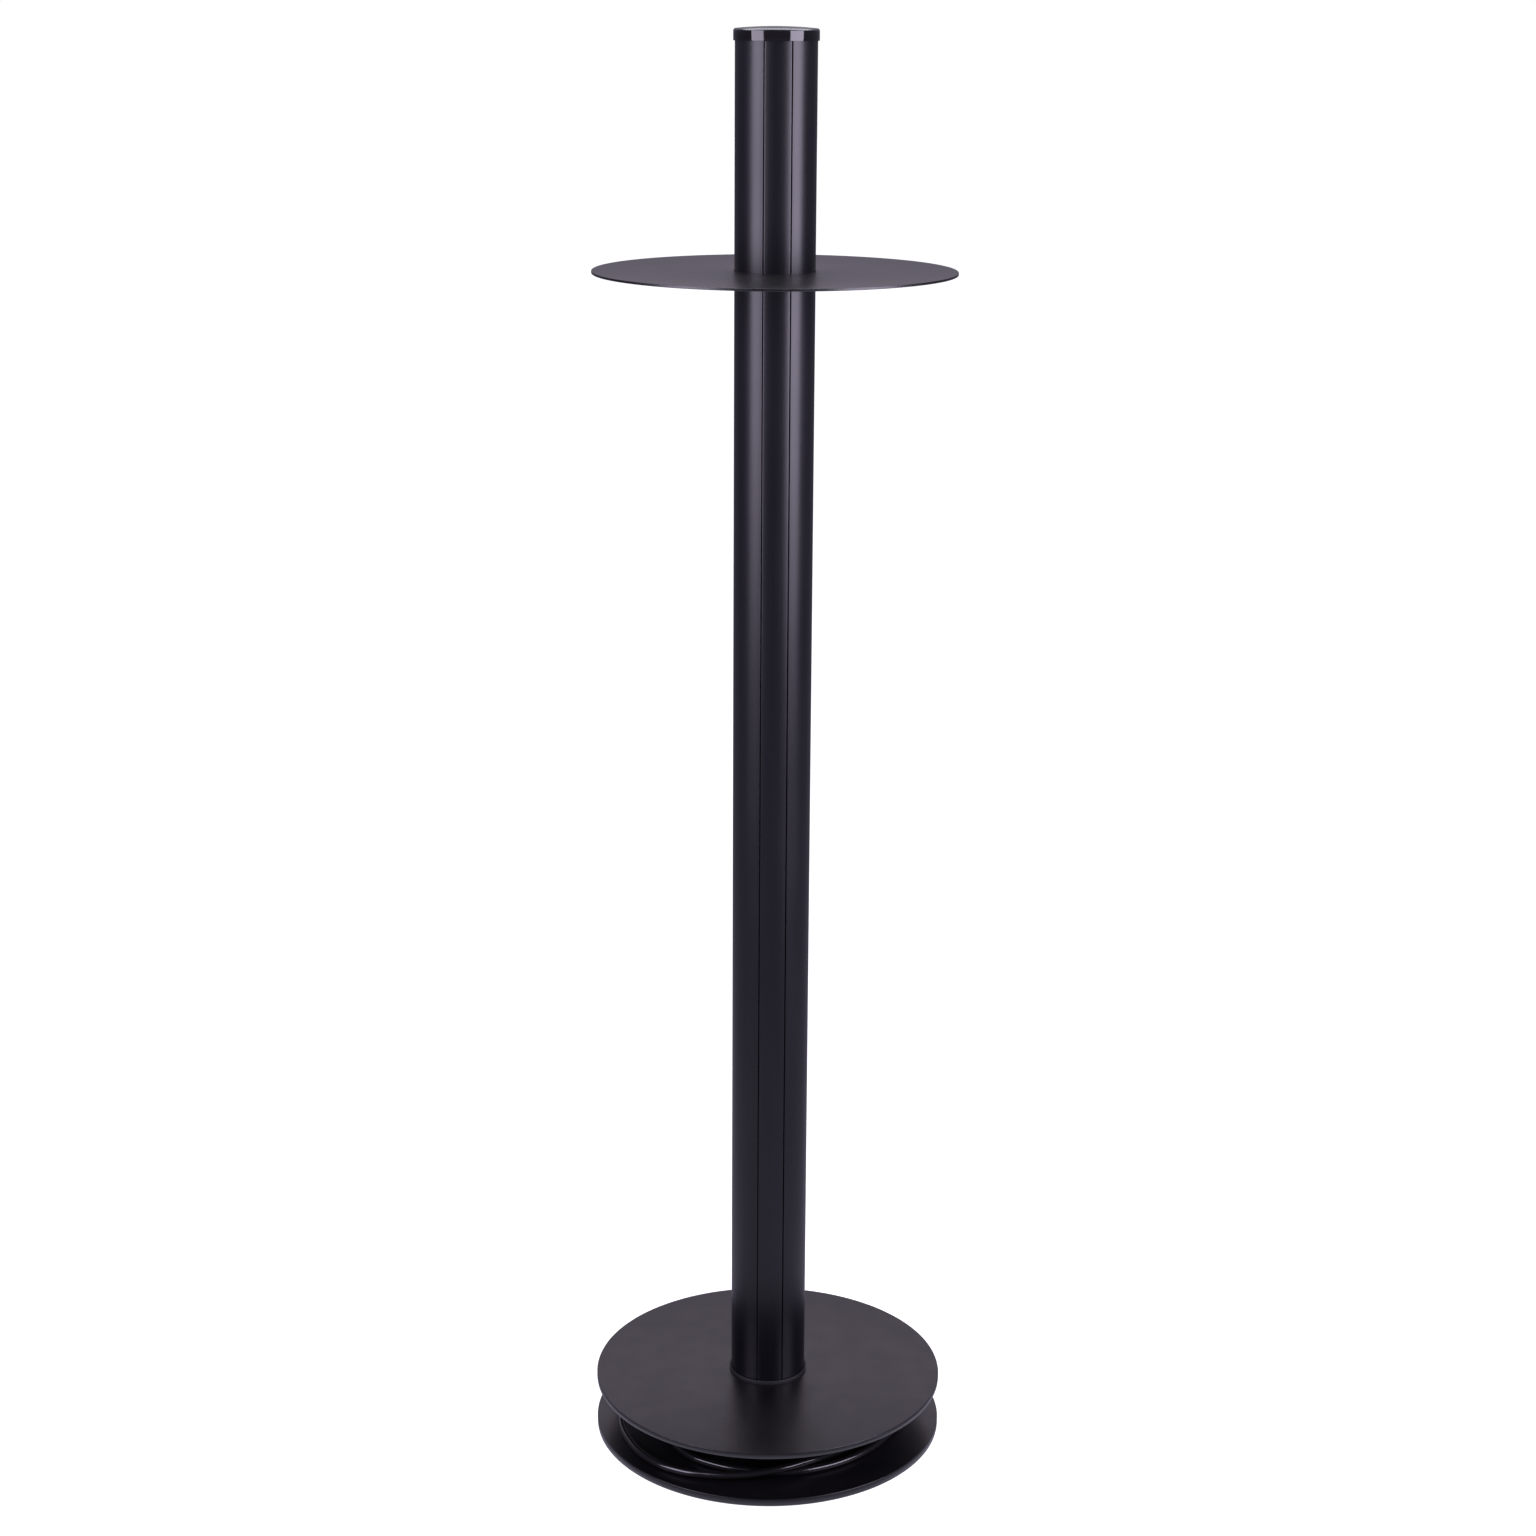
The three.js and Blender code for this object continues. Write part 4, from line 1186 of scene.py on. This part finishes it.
def dressNodes():
    for slotName, names in keptNodes.items():
        for name in names:
            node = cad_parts[name]
            for place in node.material_slots:
                place.material = finishes[slotName]
            weld = node.modifiers.new("weld", "WELD")
            weld.merge_threshold = 1e-6
            bevel = node.modifiers.new("edges", "BEVEL")
            bevel.width = 0.00015
            bevel.segments = 2
            bevel.limit_method = "ANGLE"
            bevel.angle_limit = math.radians(50)


dressNodes()
print("kept nodes dressed")

# floor and lights
studio = {
    "floorSize": 60,
    "floorColour": (0.6, 0.6, 0.6),
    "floorGlow": 0.95,
    "boxColour": (0.86, 0.785, 1.0),
    "boxes": [
        {"azimuth": -52, "distance": 2.0, "width": 1.25, "height": 1.72, "z": 1.475, "power": 52},
        {"azimuth": 56.5, "distance": 2.0, "width": 1.40, "height": 1.75, "z": 1.45, "power": 72},
    ],
    "topBox": {"width": 0.60, "depth": 0.16, "y": -0.02, "z": 1.61, "power": 2.8},
    "topColour": (0.88, 0.90, 1.0),
    # what the surfaces mirror, by the direction's Z: the wall behind, and the room in front and beside
    "wall": [
        (-0.50, (0.50, 0.46, 0.60)),
        (-0.28, (0.16, 0.15, 0.20)),
        (-0.02, (0.12, 0.115, 0.155)),
        (0.05, (0.19, 0.185, 0.24)),
        (0.25, (0.34, 0.305, 0.385)),
        (0.50, (1.08, 0.96, 1.15)),
    ],
    "room": [
        (-0.56, (1.40, 1.35, 1.70)),
        (-0.45, (0.30, 0.29, 0.39)),
        (-0.12, (0.085, 0.080, 0.120)),
        (0.02, (0.110, 0.103, 0.150)),
    ],
}


def makeFloor():
    bm = bmesh.new()
    half = studio["floorSize"] / 2
    corners = ((-half, -half), (half, -half), (half, half), (-half, half))
    bm.faces.new([bm.verts.new((x, y, 0)) for x, y in corners])
    floor = pieceFrom("studioFloor", bm)
    material, tree, shader = startMaterial("floorPaper", studio["floorColour"], 0.9)
    shader.inputs["Specular IOR Level"].default_value = 0.0
    shader.inputs["Emission Color"].default_value = (1, 1, 1, 1)
    shader.inputs["Emission Strength"].default_value = studio["floorGlow"]
    floor.data.materials.append(material)
    floor.visible_glossy = False  # the satin surfaces reflect the darker room instead of the paper
    floor.visible_diffuse = False


def areaLight(name, width, height, power, colour, place):
    data = bpy.data.lights.new(name, "AREA")
    data.shape = "RECTANGLE"
    data.size = width
    data.size_y = height
    data.energy = power
    data.color = colour
    light = bpy.data.objects.new(name, data)
    bpy.context.scene.collection.objects.link(light)
    light.location = place
    light.visible_camera = False
    return light


def makeSoftBoxes():
    for i, box in enumerate(studio["boxes"]):
        # azimuth is from the camera's side of the column, towards +X
        angle = math.radians(box["azimuth"] - studioCamera["heading"])
        place = (box["distance"] * math.sin(angle), -box["distance"] * math.cos(angle), box["z"])
        sizes = (box["width"], box["height"], box["power"])
        light = areaLight(f"softBox{i + 1}", *sizes, studio["boxColour"], place)
        aim = Vector((0, 0, box["z"])) - light.location
        light.rotation_mode = "QUATERNION"
        light.rotation_quaternion = aim.to_track_quat("-Z", "Y")


def makeTopBox():
    # small and close over the cap, so that it lights the shoulder and hardly reaches the shelf
    box = studio["topBox"]
    sizes = (box["width"], box["depth"], box["power"])
    light = areaLight("topBox", *sizes, studio["topColour"], (0, box["y"], box["z"]))
    light.visible_diffuse = False


def bands(tree, height, stops):
    ramp = tree.nodes.new("ShaderNodeValToRGB")
    marks = ramp.color_ramp.elements
    while len(marks) < len(stops):
        marks.new(0.5)
    for mark, (z, colour) in zip(marks, stops):
        mark.position = (z + 1) / 2
        mark.color = (*colour, 1)
    tree.links.new(height, ramp.inputs["Fac"])
    return ramp.outputs["Color"]


def makeWorld():
    # seen straight on it is white; in reflections it is a dim room with a bright wall high behind
    world = bpy.data.worlds.new("studioRoom")
    bpy.context.scene.world = world
    world.use_nodes = True
    tree = world.node_tree
    background = tree.nodes["Background"]
    place = tree.nodes.new("ShaderNodeTexCoord")
    parts = tree.nodes.new("ShaderNodeSeparateXYZ")
    tree.links.new(place.outputs["Generated"], parts.inputs["Vector"])
    height = spread(tree, parts.outputs["Z"], (-1, 1), (0, 1))
    back = spread(tree, parts.outputs["Y"], (0.35, 0.85), (0, 1))
    room = tree.nodes.new("ShaderNodeMix")
    room.data_type = "RGBA"
    tree.links.new(back, room.inputs["Factor"])
    tree.links.new(bands(tree, height, studio["room"]), room.inputs["A"])
    tree.links.new(bands(tree, height, studio["wall"]), room.inputs["B"])
    seen = tree.nodes.new("ShaderNodeLightPath")
    choose = tree.nodes.new("ShaderNodeMix")
    choose.data_type = "RGBA"
    tree.links.new(seen.outputs["Is Camera Ray"], choose.inputs["Factor"])
    tree.links.new(room.outputs["Result"], choose.inputs["A"])
    choose.inputs["B"].default_value = (1, 1, 1, 1)
    tree.links.new(choose.outputs["Result"], background.inputs["Color"])


makeFloor()
makeSoftBoxes()
makeTopBox()
makeWorld()
bpy.context.scene.view_settings.view_transform = "Standard"
print("studio lit")
